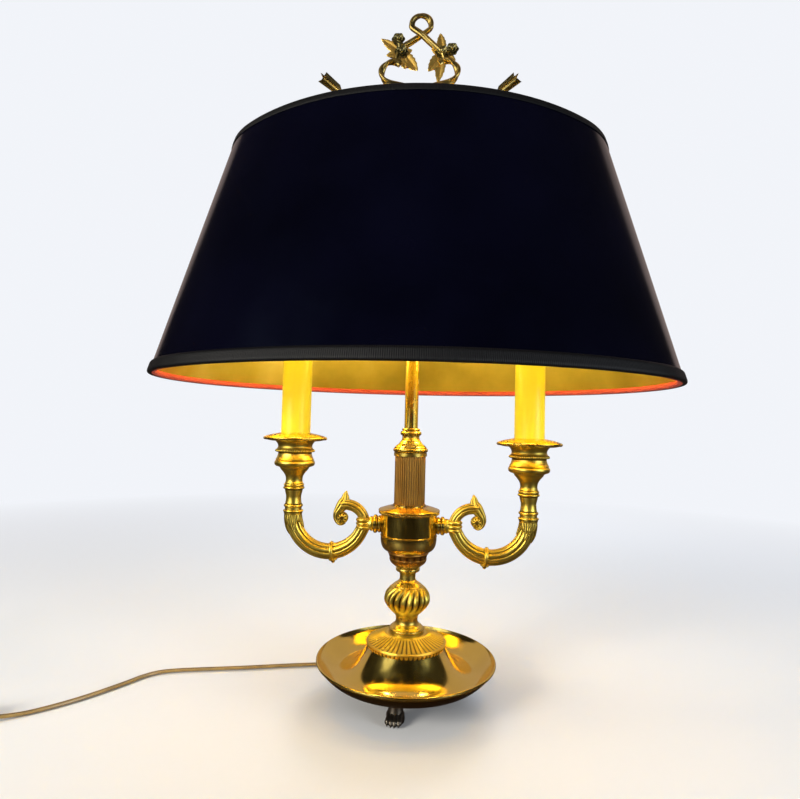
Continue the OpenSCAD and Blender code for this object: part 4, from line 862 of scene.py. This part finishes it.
def arm_casting(hand):
    """All the forms of one arm in one mesh; hand is 1 on the right and -1 on the left."""
    mirror = np.array([hand, 1, 1])
    bend = np.vstack([[39.5, 147.2], [41.1, 143.2], arc(BEND_MIDDLE, BEND_RADIUS, -150, 0, 49)])
    scroll = arc(SCROLL_MIDDLE, SCROLL_RADIUS, SCROLL_START, 76, 28)
    cast = (strand(bend, ARM_RADIUS, held(np.linspace(0.86, 1.35, len(bend)))),
            strand(scroll, SCROLL_THICK, np.linspace(0.92, 1, len(scroll))), volute_leaf())
    meshes = [surface(grid * mirror, painted_shade=depth) for grid, depth in cast]
    grid, depth = leaf_sheath(96)
    top = BEND_MIDDLE[1]
    head = [[0, top - 1], [7.4, top - 1], [8.2, top + 0.2], [8.2, top + 1.1], *bead(8.9, top + 1.4, 2),
            [0, top + 3.5]]
    hoops = [[0, -5], [6.2, -5], *bead(7.4, -4.9, 3.2), *bead(7.4, -1.6, 3.2), *bead(7.4, 1.7, 3.2),
             [6.2, 5], [0, 5]]
    boss = [[0, SPINDLE_END], [6.2, SPINDLE_END], [6.4, 32.2], [6.4, 33.6], [5.7, 34.6], [5.7, 39], [0, 39]]
    drop = flowing([0, 6.2], [3.2, 6.5], [3.8, 7.3], [3.2, 8.1], [1.9, 8.6], [1.6, 9.4], [0.9, 10.2],
                   [0, 10.4], steps=3)
    ball = [[0, -5.4], [1.4, -5.4], [1.5, -4.9], *arc((0, 0), 5.2, -70, 70, 21), [1.5, 4.9], [1.4, 5.4],
            [0, 5.4]]
    out = in_plane(around(math.radians(BAND_DIRECTION))) * mirror
    band_at = in_plane(BEND_MIDDLE) * mirror + BEND_RADIUS * out
    return joined(meshes + [
        surface(grid * mirror, closed=True, painted_shade=depth),
        turned(head, (hand * ARM_REACH, 0, 0), steps=64),
        turned(hoops, (hand * BINDING_X, 0, SPINDLE_LEVEL), steps=72),
        turned(boss, (0, 0, SPINDLE_LEVEL), (hand, 0, 0), steps=64),
        turned(arc((7, 0), 1.7, 0, 345, 24), band_at, (-hand * out[2], 0, hand * out[0]), steps=64,
               closed=True),
        turned(drop, band_at, out, steps=32),
        turned(ball, VOLUTE * mirror, (0, 1, 0), steps=64, relief=rosette)])


spindle = [[0, 22], [6, 22], [6, 24.3], *bead(7.6, 24.4, 3, 11), *bead(8.1, 27.6, 4, 11), [6, SPINDLE_END],
           [0, SPINDLE_END]]
for hand, mirror in HANDS:
    placed("arm_casting_" + hand, arm_casting(mirror), "cast_gilt_brass", gilt, "arm_" + hand)
    placed("spindle_" + hand, turned(spindle, (0, 0, SPINDLE_LEVEL), (mirror, 0, 0), steps=72),
           "polished_brass", polished, "arm_spindle_" + hand)

# ---- Candles ----
# On each arm a turned stem, a cup with a fine beaded ring, a domed drip pan, and a yellow plastic
# sleeve over the lampholder. All are threaded on the holder's shank.

PAN_LIP = 0.9
SLEEVE_RADIUS = 13.0
SLEEVE_WALL = 0.8
BULB_GLASS = 75.0
BULB_RADIUS = 17.5
BULB_NECK = 7.2
BULB_WAIST = 0.36


def sleeve_plastic():
    """Bright yellow moulded candle sleeve: soft gloss, faint drips of deeper colour down its length, and
    a faint painted yellow glow.
    """
    material, tree = new_material("sleeve_plastic")
    drips = toned(tree, noise(tree, 60, 4, (1, 1, 0.08)), (0.3, 0.95, 0.81, 0.02), (0.7, 0.86, 0.7, 0.015))
    return finished(material, Base_Color=drips, Roughness=0.38, Emission_Color=(1, 0.83, 0.03, 1),
                    Emission_Strength=0.1,
                    Normal=bumped(tree, noise(tree, 500, 3, (1, 1, 0.3)), 0.08, 0.0003))


def lit_glass():
    """Frosted bulb glass, lit: warm light that is brightest round the filament's height."""
    material, tree = new_material("lit_glass")
    height = put(tree, "SeparateXYZ", put(tree, "TexCoord", out="Object"), out="Z")
    frost = ranged(tree, noise(tree, 240), 0.3, 0.7, 0.94, 1.06)
    power = put(tree, "Math", ranged(tree, height, 0.31, 0.34, 24, 60), frost, operation="MULTIPLY")
    return finished(material, Base_Color=(1, 0.9, 0.72, 1), Roughness=0.35, Emission_Strength=power,
                    Emission_Color=(1.0, 0.79, 0.42, 1))


def bulb_line():
    """Radius swells by a sine from the neck to the widest part and closes by a cosine to the tip."""
    share = np.linspace(0, 1, 40)
    swell = BULB_NECK + (BULB_RADIUS - BULB_NECK) * np.sin(held(share / BULB_WAIST) * math.pi / 2)
    close = np.cos(held((share - BULB_WAIST) / (1 - BULB_WAIST)) * math.pi / 2)
    radius = np.where(share < BULB_WAIST, swell, BULB_RADIUS * held(close) ** 0.85)
    line = np.stack([radius, 0.985 * BULB_GLASS * share], -1)
    return np.vstack([[0, -24.8], [6.9, -24.8], [6.9, -0.2], line[:-1], [0, line[-1, 1]]])


yellow = sleeve_plastic()
glass = lit_glass()
for hand, mirror in HANDS:
    axis_at = (mirror * ARM_REACH, 0, 0)
    lathe("cup_stem_turning_" + hand, "cup_stem_" + hand, gilt, [7.4, 0], [7.4, 2.2], bead(8.5, 2.4, 2.6),
          flowing([7.3, 5.6], [6.8, 8.4], [6.7, 12], [7.6, 16], [8.0, 18.2]), bead(9.5, 18.4, 2, 7),
          bead(9, 20.5, 2.9), flowing([8.1, 23.6], [7.4, 26], [7.8, 29.5], [9.4, 32.5], [12.4, 36.1]),
          [13, 37.5], [15, 38.5], origin=axis_at)
    lathe("cup_turning_" + hand, "candle_cup_" + hand, gilt, [15, 0], bead(18, 0, 6, 17),
          flowing([17.2, 5.9], [16.2, 7.6], [15.3, 9.8], [14.9, 11.8]), [14.9, 12.6],
          bead(17.5, 12.8, 2.3, 11),
          flowing([16.4, 15.3], [15.5, 16.7], [15.2, 18.4], [16.1, 20.7], [18, 22.8], [19.6, 24.2]),
          [19.8, 25.5], origin=axis_at, relief=bead_row(39, 45, 72, 0.4), steps=432)
    lathe("pan_turning_" + hand, "drip_pan_" + hand, soft, flowing([19, -2.9], [22.4, -2.6], [25, -2]),
          arc((26.9, -0.4), 1.4, -105, 80, 15), flowing([26.6, 1.2], [22.3, 2.6], [16.4, 3.8], [13.4, 4.4]),
          lift=PAN_LIP, origin=axis_at, steps=192)
    low, high = (corner[2] for corner in corners_of("candle_sleeve_" + hand))
    inside = SLEEVE_RADIUS - SLEEVE_WALL
    sleeve = [[SLEEVE_RADIUS, low], [SLEEVE_RADIUS, low + 30], [SLEEVE_RADIUS, high - 30],
              [SLEEVE_RADIUS, high - 0.3], [SLEEVE_RADIUS - 0.3, high], [inside, high], [inside, low]]
    placed("sleeve_" + hand, turned(sleeve, axis_at, steps=96, painted_shade=np.zeros(len(sleeve)), closed=True),
           "candle_sleeve", yellow, "candle_sleeve_" + hand)
    bulb = turned(bulb_line() + [0, high - 3], axis_at, steps=64)
    placed("bulb_glass_" + hand, bulb, "bulb_glass", glass, "bulb_" + hand)

# ---- Shade ----
# Oval card shade of four arcs, black and glossy outside and gilt inside. It hangs on the spider,
# which turns on the sliding carrier.

SHADE_HALF_LENGTH = 165.0
SHADE_HALF_WIDTH = 118.0
SHADE_SPREAD = 58.6
SHADE_HEIGHT = 201.2
CARD = 1.2
SHADE_TOP = corners_of("shade_card")[1][2]
SHADE_FOOT = SHADE_TOP - SHADE_HEIGHT
END_RADIUS = 0.76 * SHADE_HALF_WIDTH
END_X = SHADE_HALF_LENGTH - END_RADIUS
SIDE_RADIUS = (END_X**2 + SHADE_HALF_WIDTH**2 - END_RADIUS**2) / (2 * (SHADE_HALF_WIDTH - END_RADIUS))
SIDE_Y = SIDE_RADIUS - SHADE_HALF_WIDTH
SIDE_HALF = math.degrees(math.atan(END_X / SIDE_Y))
OVAL_ARCS = (  # middle, radius, direction of its middle, half its angle and its columns
    ((END_X, 0), END_RADIUS, 0, 90 - SIDE_HALF, 66), ((0, -SIDE_Y), SIDE_RADIUS, 90, SIDE_HALF, 114),
    ((-END_X, 0), END_RADIUS, 180, 90 - SIDE_HALF, 66), ((0, SIDE_Y), SIDE_RADIUS, 270, SIDE_HALF, 114))


def spread_at(height):
    """How far the card's outside stands out from the line of the top opening."""
    return SHADE_SPREAD * (SHADE_TOP - height) / SHADE_HEIGHT


def off_card(level, *spots):
    """Points of (height above a level, distance out from the card's outside)."""
    up, out = np.array(spots, float).T
    return np.stack([spread_at(level + up) + out, level + up], -1)


def round_oval(section, **how):
    """Section of (outwards, height) carried round the oval: middle + (radius + outwards) * direction."""
    columns = []
    for middle, radius, heading, half, count in OVAL_ARCS:
        way = around(np.radians(heading + np.linspace(-half, half, count, endpoint=False)))
        flat = middle + (radius + section[:, None, :1]) * way
        columns.append(np.dstack([flat, np.repeat(section[:, 1:], count, 1)]))
    return surface(np.hstack(columns), closed=True, **how)


def card_layer(outer, inner):
    """Strip between two distances in from the card's outside, bottom to top and back."""
    outside = off_card(SHADE_FOOT, *np.linspace([0, -outer], [SHADE_HEIGHT, -outer], 24))
    inside = off_card(SHADE_FOOT, *np.linspace([SHADE_HEIGHT, -inner], [0, -inner], 24))
    return round_oval(np.vstack([outside, inside]))


def shade_black():
    """Laminated card, black with a trace of blue, high gloss with long soft waves from the rolling; its
    gloss is tinted blue as a painted cool reflection.
    """
    material, tree = new_material("shade_black")
    colour = toned(tree, noise(tree, 12, 4), (0.3, 0.0008, 0.0008, 0.003), (0.7, 0.0016, 0.0016, 0.006))
    return finished(material, Base_Color=colour, Specular_IOR_Level=0.14, Specular_Tint=(0.3, 0.5, 1, 1),
                    Roughness=ranged(tree, noise(tree, 30, 4), 0.3, 0.7, 0.13, 0.2),
                    Normal=bumped(tree, noise(tree, 9, 2, (1, 1, 0.4)), 0.12, 0.002))


def gold_lining():
    """Gilt foil on card: satin metal, paler and darker in patches, with a fine crinkle."""
    material, tree = new_material("gold_lining")
    patch = noise(tree, 14, 5)
    colour = toned(tree, patch, (0.3, 0.48, 0.37, 0.04), (0.55, 0.7, 0.55, 0.07), (0.8, 0.84, 0.71, 0.16))
    return finished(material, Metallic=0.85, Base_Color=colour,
                    Roughness=ranged(tree, patch, 0.2, 0.8, 0.36, 0.5),
                    Normal=bumped(tree, noise(tree, 260, 4), 0.2, 0.0004))


placed("shade_outside", card_layer(0, 0.55), "shade_card", shade_black(), "shade_card", body="shade")
placed("shade_lining", card_layer(0.6, CARD), "shade_card", gold_lining(), "shade_card", body="shade")

# ---- Shade tapes ----
# Ribbed black tape over the top edge and a wider one folded round the bottom edge, with an orange
# hem tape inside that wraps the lower wire. All are glued on.

TAPE = 0.7
TAPE_RIBS = 900
TOP_TAPE = 5.0
BOTTOM_TAPE = 8.6
BOTTOM_STAND = 1.9
LOW_WIRE = 1.4


def woven(name, dark, light, rough):
    """Tape woven with fine ribs across it: a sine of the place round the oval, and a fuzzy painted sheen
    on the rib crests with painted shade between them.
    """
    material, tree = new_material(name)
    place = put(tree, "SeparateXYZ", put(tree, "UVMap"))
    phase = put(tree, "Math", place, 2 * math.pi * TAPE_RIBS, operation="MULTIPLY")
    rib = put(tree, "Math", phase, operation="SINE")
    rib_sheen = put(tree, "Math", ranged(tree, rib, -1, 1), noise(tree, 700), operation="MULTIPLY")
    return finished(material, Base_Color=toned(tree, rib_sheen, (0.1, *dark), (0.6, *light)), Roughness=rough,
                    Specular_IOR_Level=0.25, Normal=bumped(tree, rib, 0.35, 0.00025))


tape_black = woven("tape_black", (0.0015, 0.0015, 0.002), (0.005, 0.005, 0.006), 0.5)
hem_orange = woven("hem_orange", (0.4, 0.05, 0.025), (0.62, 0.1, 0.05), 0.6)
top_edge = SHADE_TOP - TOP_TAPE
top_section = np.vstack([
    off_card(top_edge, (0, 0)), [spread_at(top_edge) + 0.5, top_edge + 0.05],
    off_card(top_edge, (0.5, TAPE), (2.5, TAPE + 0.1)), arc((-0.25, SHADE_TOP - 0.3), 1.0, 12, 168, 11),
    [-CARD, SHADE_TOP - 0.05], [-0.4, SHADE_TOP + 0.02], [0, SHADE_TOP - 0.1],
    off_card(top_edge, (2.5, 0))])
fold = smooth_line(off_card(
    SHADE_FOOT, (-0.75, -2.2), (-0.8, 0.2), (-0.2, BOTTOM_STAND - 0.6), (1.3, BOTTOM_STAND),
    (4, BOTTOM_STAND), (6.2, BOTTOM_STAND), (7.4, 1.7), (8.2, 1.0), (BOTTOM_TAPE, 0.5)), 3)
bottom_section = np.vstack([off_card(SHADE_FOOT, (-0.1, 0.02), (-0.1, -2.1)), fold,
                            off_card(SHADE_FOOT, (BOTTOM_TAPE, 0.02), (4, 0.02))])
wire_z = SHADE_FOOT + LOW_WIRE + 0.3
wire_x = spread_at(wire_z) - CARD - LOW_WIRE - 0.2
flap_z = wire_z + 2.6
flap_x = spread_at(flap_z) - CARD - 0.05
hem_section = np.vstack([
    [flap_x, flap_z], [flap_x - 0.5, flap_z + 0.05], [flap_x - TAPE, flap_z - 0.3],
    arc((wire_x, wire_z), LOW_WIRE + 0.9, 120, 243), off_card(SHADE_FOOT, (-0.7, -1.5), (-0.15, -1.5)),
    [wire_x + 0.6, SHADE_FOOT - 0.05], arc((wire_x, wire_z), LOW_WIRE + 0.2, 243, 108),
    off_card(wire_z, (2.2, -CARD - 0.05))])
for edge, section, slot, material in (("top", top_section, "shade_tape", tape_black),
                                      ("bottom", bottom_section, "shade_tape", tape_black),
                                      ("hem", hem_section, "hem_tape", hem_orange)):
    placed(edge + "_tape", round_oval(section, sharp=60), slot, material, "shade_" + edge + "_tape",
           body="shade")

# ---- Finial stem and arrows ----
# Gilt baluster screwed on the rod's top, with two crossed arrows through its ball.
# Each arrow has a turned shaft and head and two crossed feather vanes at the nock.

CROSSING = 480.0
ARROW_APART = 2.8
ARROW_RISE = math.radians(40)
FRONT = np.array([0.0, -1, 0])
SHAFT_RADIUS = 2.2
VANE_START = 91.0
VANE_END = 113.5
VANE_ROWS = 45
antique = brass("antique_gilt", (0.78, 0.56, 0.16), (0.085, 0.065, 0.025), 0.24, 1500, 0.2, 0.95)
lathe("finial_turning", "finial_stem", gilt, bead(10.4, 0.2, 3.2), [9, 3.8], [9, 6], bead(9.6, 6.4, 2.4),
      [6.4, 9], arc((0, 18), 9, -44, 52, 17), flowing([4.9, 25.6], [4.4, 28.6]), bead(6.4, 29, 2.6),
      flowing([3.9, 32.2], [3.4, 38], [5, 48], [5.9, 56.6]), bead(7, 57, 2.4),
      flowing([5.6, 59.8], [4.2, 69], [3.4, 72.8]), bead(5.4, 73, 3), [3.2, 76.4], [3.2, 78], [2.2, 79],
      slot="cast_gilt_brass", steps=96)


def both_faces(points):
    """Places from -1 to 1 across a thin piece's front and back again behind it, and the face of each."""
    front = np.linspace(-1, 1, points)
    return np.concatenate([front, front[-2:0:-1]]), np.repeat([1, -1], [points, points - 2])


def vane(foot, axis, across):
    """Thin lens carried along the shaft: its rows lean back to the nock by 3.5 |v|, v being the place
    across, and every second row stands out as a barb; painted shade is light on the barbs and deeper
    on the rows between."""
    along = np.linspace(VANE_START, VANE_END, VANE_ROWS)[:, None]
    odd = np.arange(VANE_ROWS)[:, None] % 2
    half = SHAFT_RADIUS + 2.4 * held((along - VANE_START) / 4) + 0.06 * (along - VANE_START)
    v, face = both_faces(13)
    thick = face * (0.2 + (0.25 + 0.3 * (1 - odd)) * np.sqrt(1.001 - v**2))
    spine = foot + (along + 3.5 * np.abs(v))[..., None] * axis
    width = (half * (1 - 0.05 * odd) * v)[..., None] * across
    grid = spine + width + thick[..., None] * np.cross(axis, across)
    return surface(grid, painted_shade=0.25 + 0.6 * odd, sharp=25)


def arrow(hand):
    """Shaft, barbed head and two vanes on a line that rises to one side."""
    foot = np.array([0, hand * ARROW_APART, CROSSING])
    axis = np.array([hand * math.cos(ARROW_RISE), 0, math.sin(ARROW_RISE)])
    shaft = [[0, -25], [SHAFT_RADIUS, -24.5], [SHAFT_RADIUS, 60], [SHAFT_RADIUS, 113], [1.4, 114], [0, 114]]
    head = [[0, -32], [0.6, -31.4], [2.3, -27.6], [4, -23.4], [2.4, -23.2], [2.3, -21], [0, -21]]
    upward = np.array([-axis[2], 0, axis[0]])
    return joined([turned(shaft, foot, axis, steps=32), turned(head, foot, axis, steps=32),
                   vane(foot, axis, upward), vane(foot, axis, -FRONT)])


for hand, mirror in HANDS:
    placed("arrow_dressed_" + hand, arrow(mirror), "cast_gilt_brass", antique, "arrow_" + hand)

# ---- Ribbon bow ----
# Cast strap on top of the finial stem: a loop whose legs cross and run down to the roses, and a
# C-shaped strap on each side that comes back to the foot. The straps twist as they run.

BOW_FOOT = corners_of("ribbon_bow")[0][2]
LOOP = np.array([1.0, BOW_FOOT + 63.6])
LOOP_RADIUS = 8.7
C_MIDDLE = (24.5, 18.5)


def twisted(line, wide, thick, start, stop):
    """Grooved oval carried along a line and turned about it from start to stop half turns; the groove
    gets painted shade.
    """
    oval = circle(28)
    groove = np.exp(-(oval[:, 0] / 0.28) ** 2)
    x, y = (oval * [wide / 2, thick / 2] * (1 - 0.16 * groove)[:, None]).T
    turn = math.pi * np.linspace(start, stop, len(line))[:, None]
    section = np.stack([x * np.cos(turn) - y * np.sin(turn), x * np.sin(turn) + y * np.cos(turn)], -1)
    return carried(line, section), 0.8 * groove


def bow():
    """The loop with its legs, both C straps and the turned button that they spring from."""
    foot = np.array([0, 0, BOW_FOOT])
    flat = arc(LOOP, LOOP_RADIUS, -24, 204, 13)
    ring = np.stack([flat[:, 0], np.linspace(0.9, -0.9, len(flat)), flat[:, 1]], -1)
    legs_in = foot + [[-21, 0, 29], [-19.6, 0.3, 36], [-16.5, 0.8, 42.4], [-8, 1.6, 48.6], [1, 1.8, 54.8]]
    legs_out = foot + [[1, -1.8, 53.6], [9.6, -1.4, 45.6], [18.6, -0.6, 37.4], [21.4, 0, 33], [23, 0, 28.8]]
    loop = twisted(smooth_line(np.vstack([legs_in, ring, legs_out]), 6), 5.8, 4.4, 0.5, 3.0)
    strap_line = in_plane(np.vstack([[0.6, 3.6], [8, 4.9], [16.5, 6.6], arc(C_MIDDLE, 10.4, -84, 130, 13)]))
    strap, groove = twisted(smooth_line(foot + strap_line, 6), 6.4, 4.3, 0.0, 2.5)
    parts = (loop, (strap, groove), (strap * [-1, 1, 1], groove))
    meshes = [surface(grid, painted_shade=depth) for grid, depth in parts]
    button = np.vstack([[0, 0], [3.2, 0], [4, 3], arc((0, 4), 3.9, 0, 90)])
    return joined(meshes + [turned(button, foot, steps=48)])


placed("ribbon_casting", bow(), "cast_gilt_brass", antique, "ribbon_bow")

# ---- Rose sprays ----
# Dark greenish roses over toothed leaves, brazed on the ribbon's ends. Blossoms and leaves are cast
# apart, and the leaves are coloured brighter as painted light from the bulbs below.

aged = brass("aged_bronze", (0.36, 0.3, 0.12), (0.04, 0.04, 0.02), 0.34, 1600, 0.3, 0.9)
# The leaves' brighter gilt is painted light from the bulbs below the finial.
lit_leaf_gilt = brass("painted_lit_gilt", (1.0, 0.66, 0.16), (0.26, 0.13, 0.02), 0.36, 1500, 0.15, 0.3)
STALK_RADIUS = 2.3
SPRAYS = {  # knot, rose, and the tips of the leaves with their widths, as (x, z) above the bow's foot
    "left": ((-17, 37.5), (-20, 49.5),
             ((-36, 51, 8), (-1.6, 20, 11), (-13, 21.5, 8), (-31, 35, 7), (-7, 39.5, 6))),
    "right": ((20.5, 36.5), (29.5, 39),
              ((18.6, 55, 8.5), (8, 19, 10), (17, 8, 9), (10.5, 40, 6), (33, 29, 7))),
}


def blade(root, tip, facing, width, thick, fold, curl, teeth=0):
    """Leaf or petal: half width w sin(pi t^0.8)^0.7 with teeth, folded up from its midrib by its
    distance from it, and curled towards its facing side by t squared. Its midrib and veins are painted
    shade."""
    t = np.linspace(0.03, 1, 22)[:, None]
    along = tip - root
    saw = 1 + 0.2 * ((t * teeth) % 1 - 0.5) * (teeth > 0)
    half = width / 2 * np.sin(math.pi * t**0.8) ** 0.7 * saw
    v, face = both_faces(9)
    rise = fold * half * np.abs(v) + face * thick / 2 * (1 - v**4) * np.sqrt(1.02 - t)
    rise = rise + curl * np.linalg.norm(along) * t**2
    side = unit(np.cross(along, facing))
    grid = root + t[..., None] * along + (half * v)[..., None] * side + rise[..., None] * facing
    vein = np.exp(-(v / 0.12) ** 2) + 0.5 * (np.abs(np.sin(9 * (t - 0.4 * np.abs(v)))) < 0.25)
    return surface(grid, painted_shade=held(0.75 * vein))


def blossom(middle, size):
    """Outer ring of six petals, inner ring of five that close up more, a bud, and a calyx behind."""
    meshes = []
    for count, reach, cup, lift in ((6, 1.0, 0.25, 0.0), (5, 0.68, 0.75, 0.9)):
        for k in range(count):
            out = in_plane(around(2 * math.pi * (k + 0.3 * lift) / count))
            root = middle + [0, -lift, 0] + 0.12 * size * out
            tip = root + (reach - 0.12) * size * out
            meshes.append(blade(root, tip, FRONT, 1.05 * size * reach, 0.9, 0.3, cup))
    for part, back, sides, points in ((0.3, -0.45, 20, 9), (0.56, 0.25, 24, 11)):
        dome = arc((0, 0), part * size, -89.9, 89.9, points)
        meshes.append(turned(dome, middle + [0, back * size, 0], FRONT, steps=sides))
    return meshes


for hand, (knot, rose, leaves) in SPRAYS.items():
    knot_at, rose_at = in_plane([knot, rose]) + [0, 0, BOW_FOOT]
    stalk = surface(carried(np.linspace(knot_at, rose_at, 6), STALK_RADIUS * circle(12)))
    meshes = blossom(rose_at, 6.4) + blossom(knot_at, 6.6) + [stalk]
    placed("roses_" + hand, joined(meshes), "satin_brass", aged, "rose_spray_" + hand)
    meshes = []
    for x, z, width in leaves:
        for facing, shift in ((FRONT, 0.0), (-FRONT, 0.8)):
            root, tip = knot_at + [0, 0.8 + shift, 0], np.array([x, shift - 0.6, z + BOW_FOOT])
            meshes.append(blade(root, tip, facing, width, 1.2, 0.22, -0.03, teeth=5))
    placed("rose_leaves_" + hand, joined(meshes), "satin_brass", lit_leaf_gilt, "rose_spray_" + hand)

# ---- Carrier, spider and inner parts ----
# Solids whose shape is right as it is: brass fittings on the rod, zinc-plated steel in the stem,
# the iron weight, and the insulators and wires.

dressed(polished, "shade_carrier", "spider_nut", "shade_spider")
dressed(gilt, "clamp_key")
dressed(brass("cast_iron", (0.09, 0.088, 0.085), (0.03, 0.028, 0.026), 0.5, 600, 0.6, 0.7), "base_weight")
dressed(brass("plated_steel", (0.56, 0.56, 0.55), (0.25, 0.25, 0.25), 0.24, 1400, 0.15, 0.3),
        "base_washer", "stem_nuts", "stem_tube", "shade_bottom_ring", "plug_pins")
dressed(moulded_plastic("insulator", np.array([0.62, 0.58, 0.5]), 0.4),
        "terminal_block", "inner_wires", "lampholder_left", "lampholder_right")
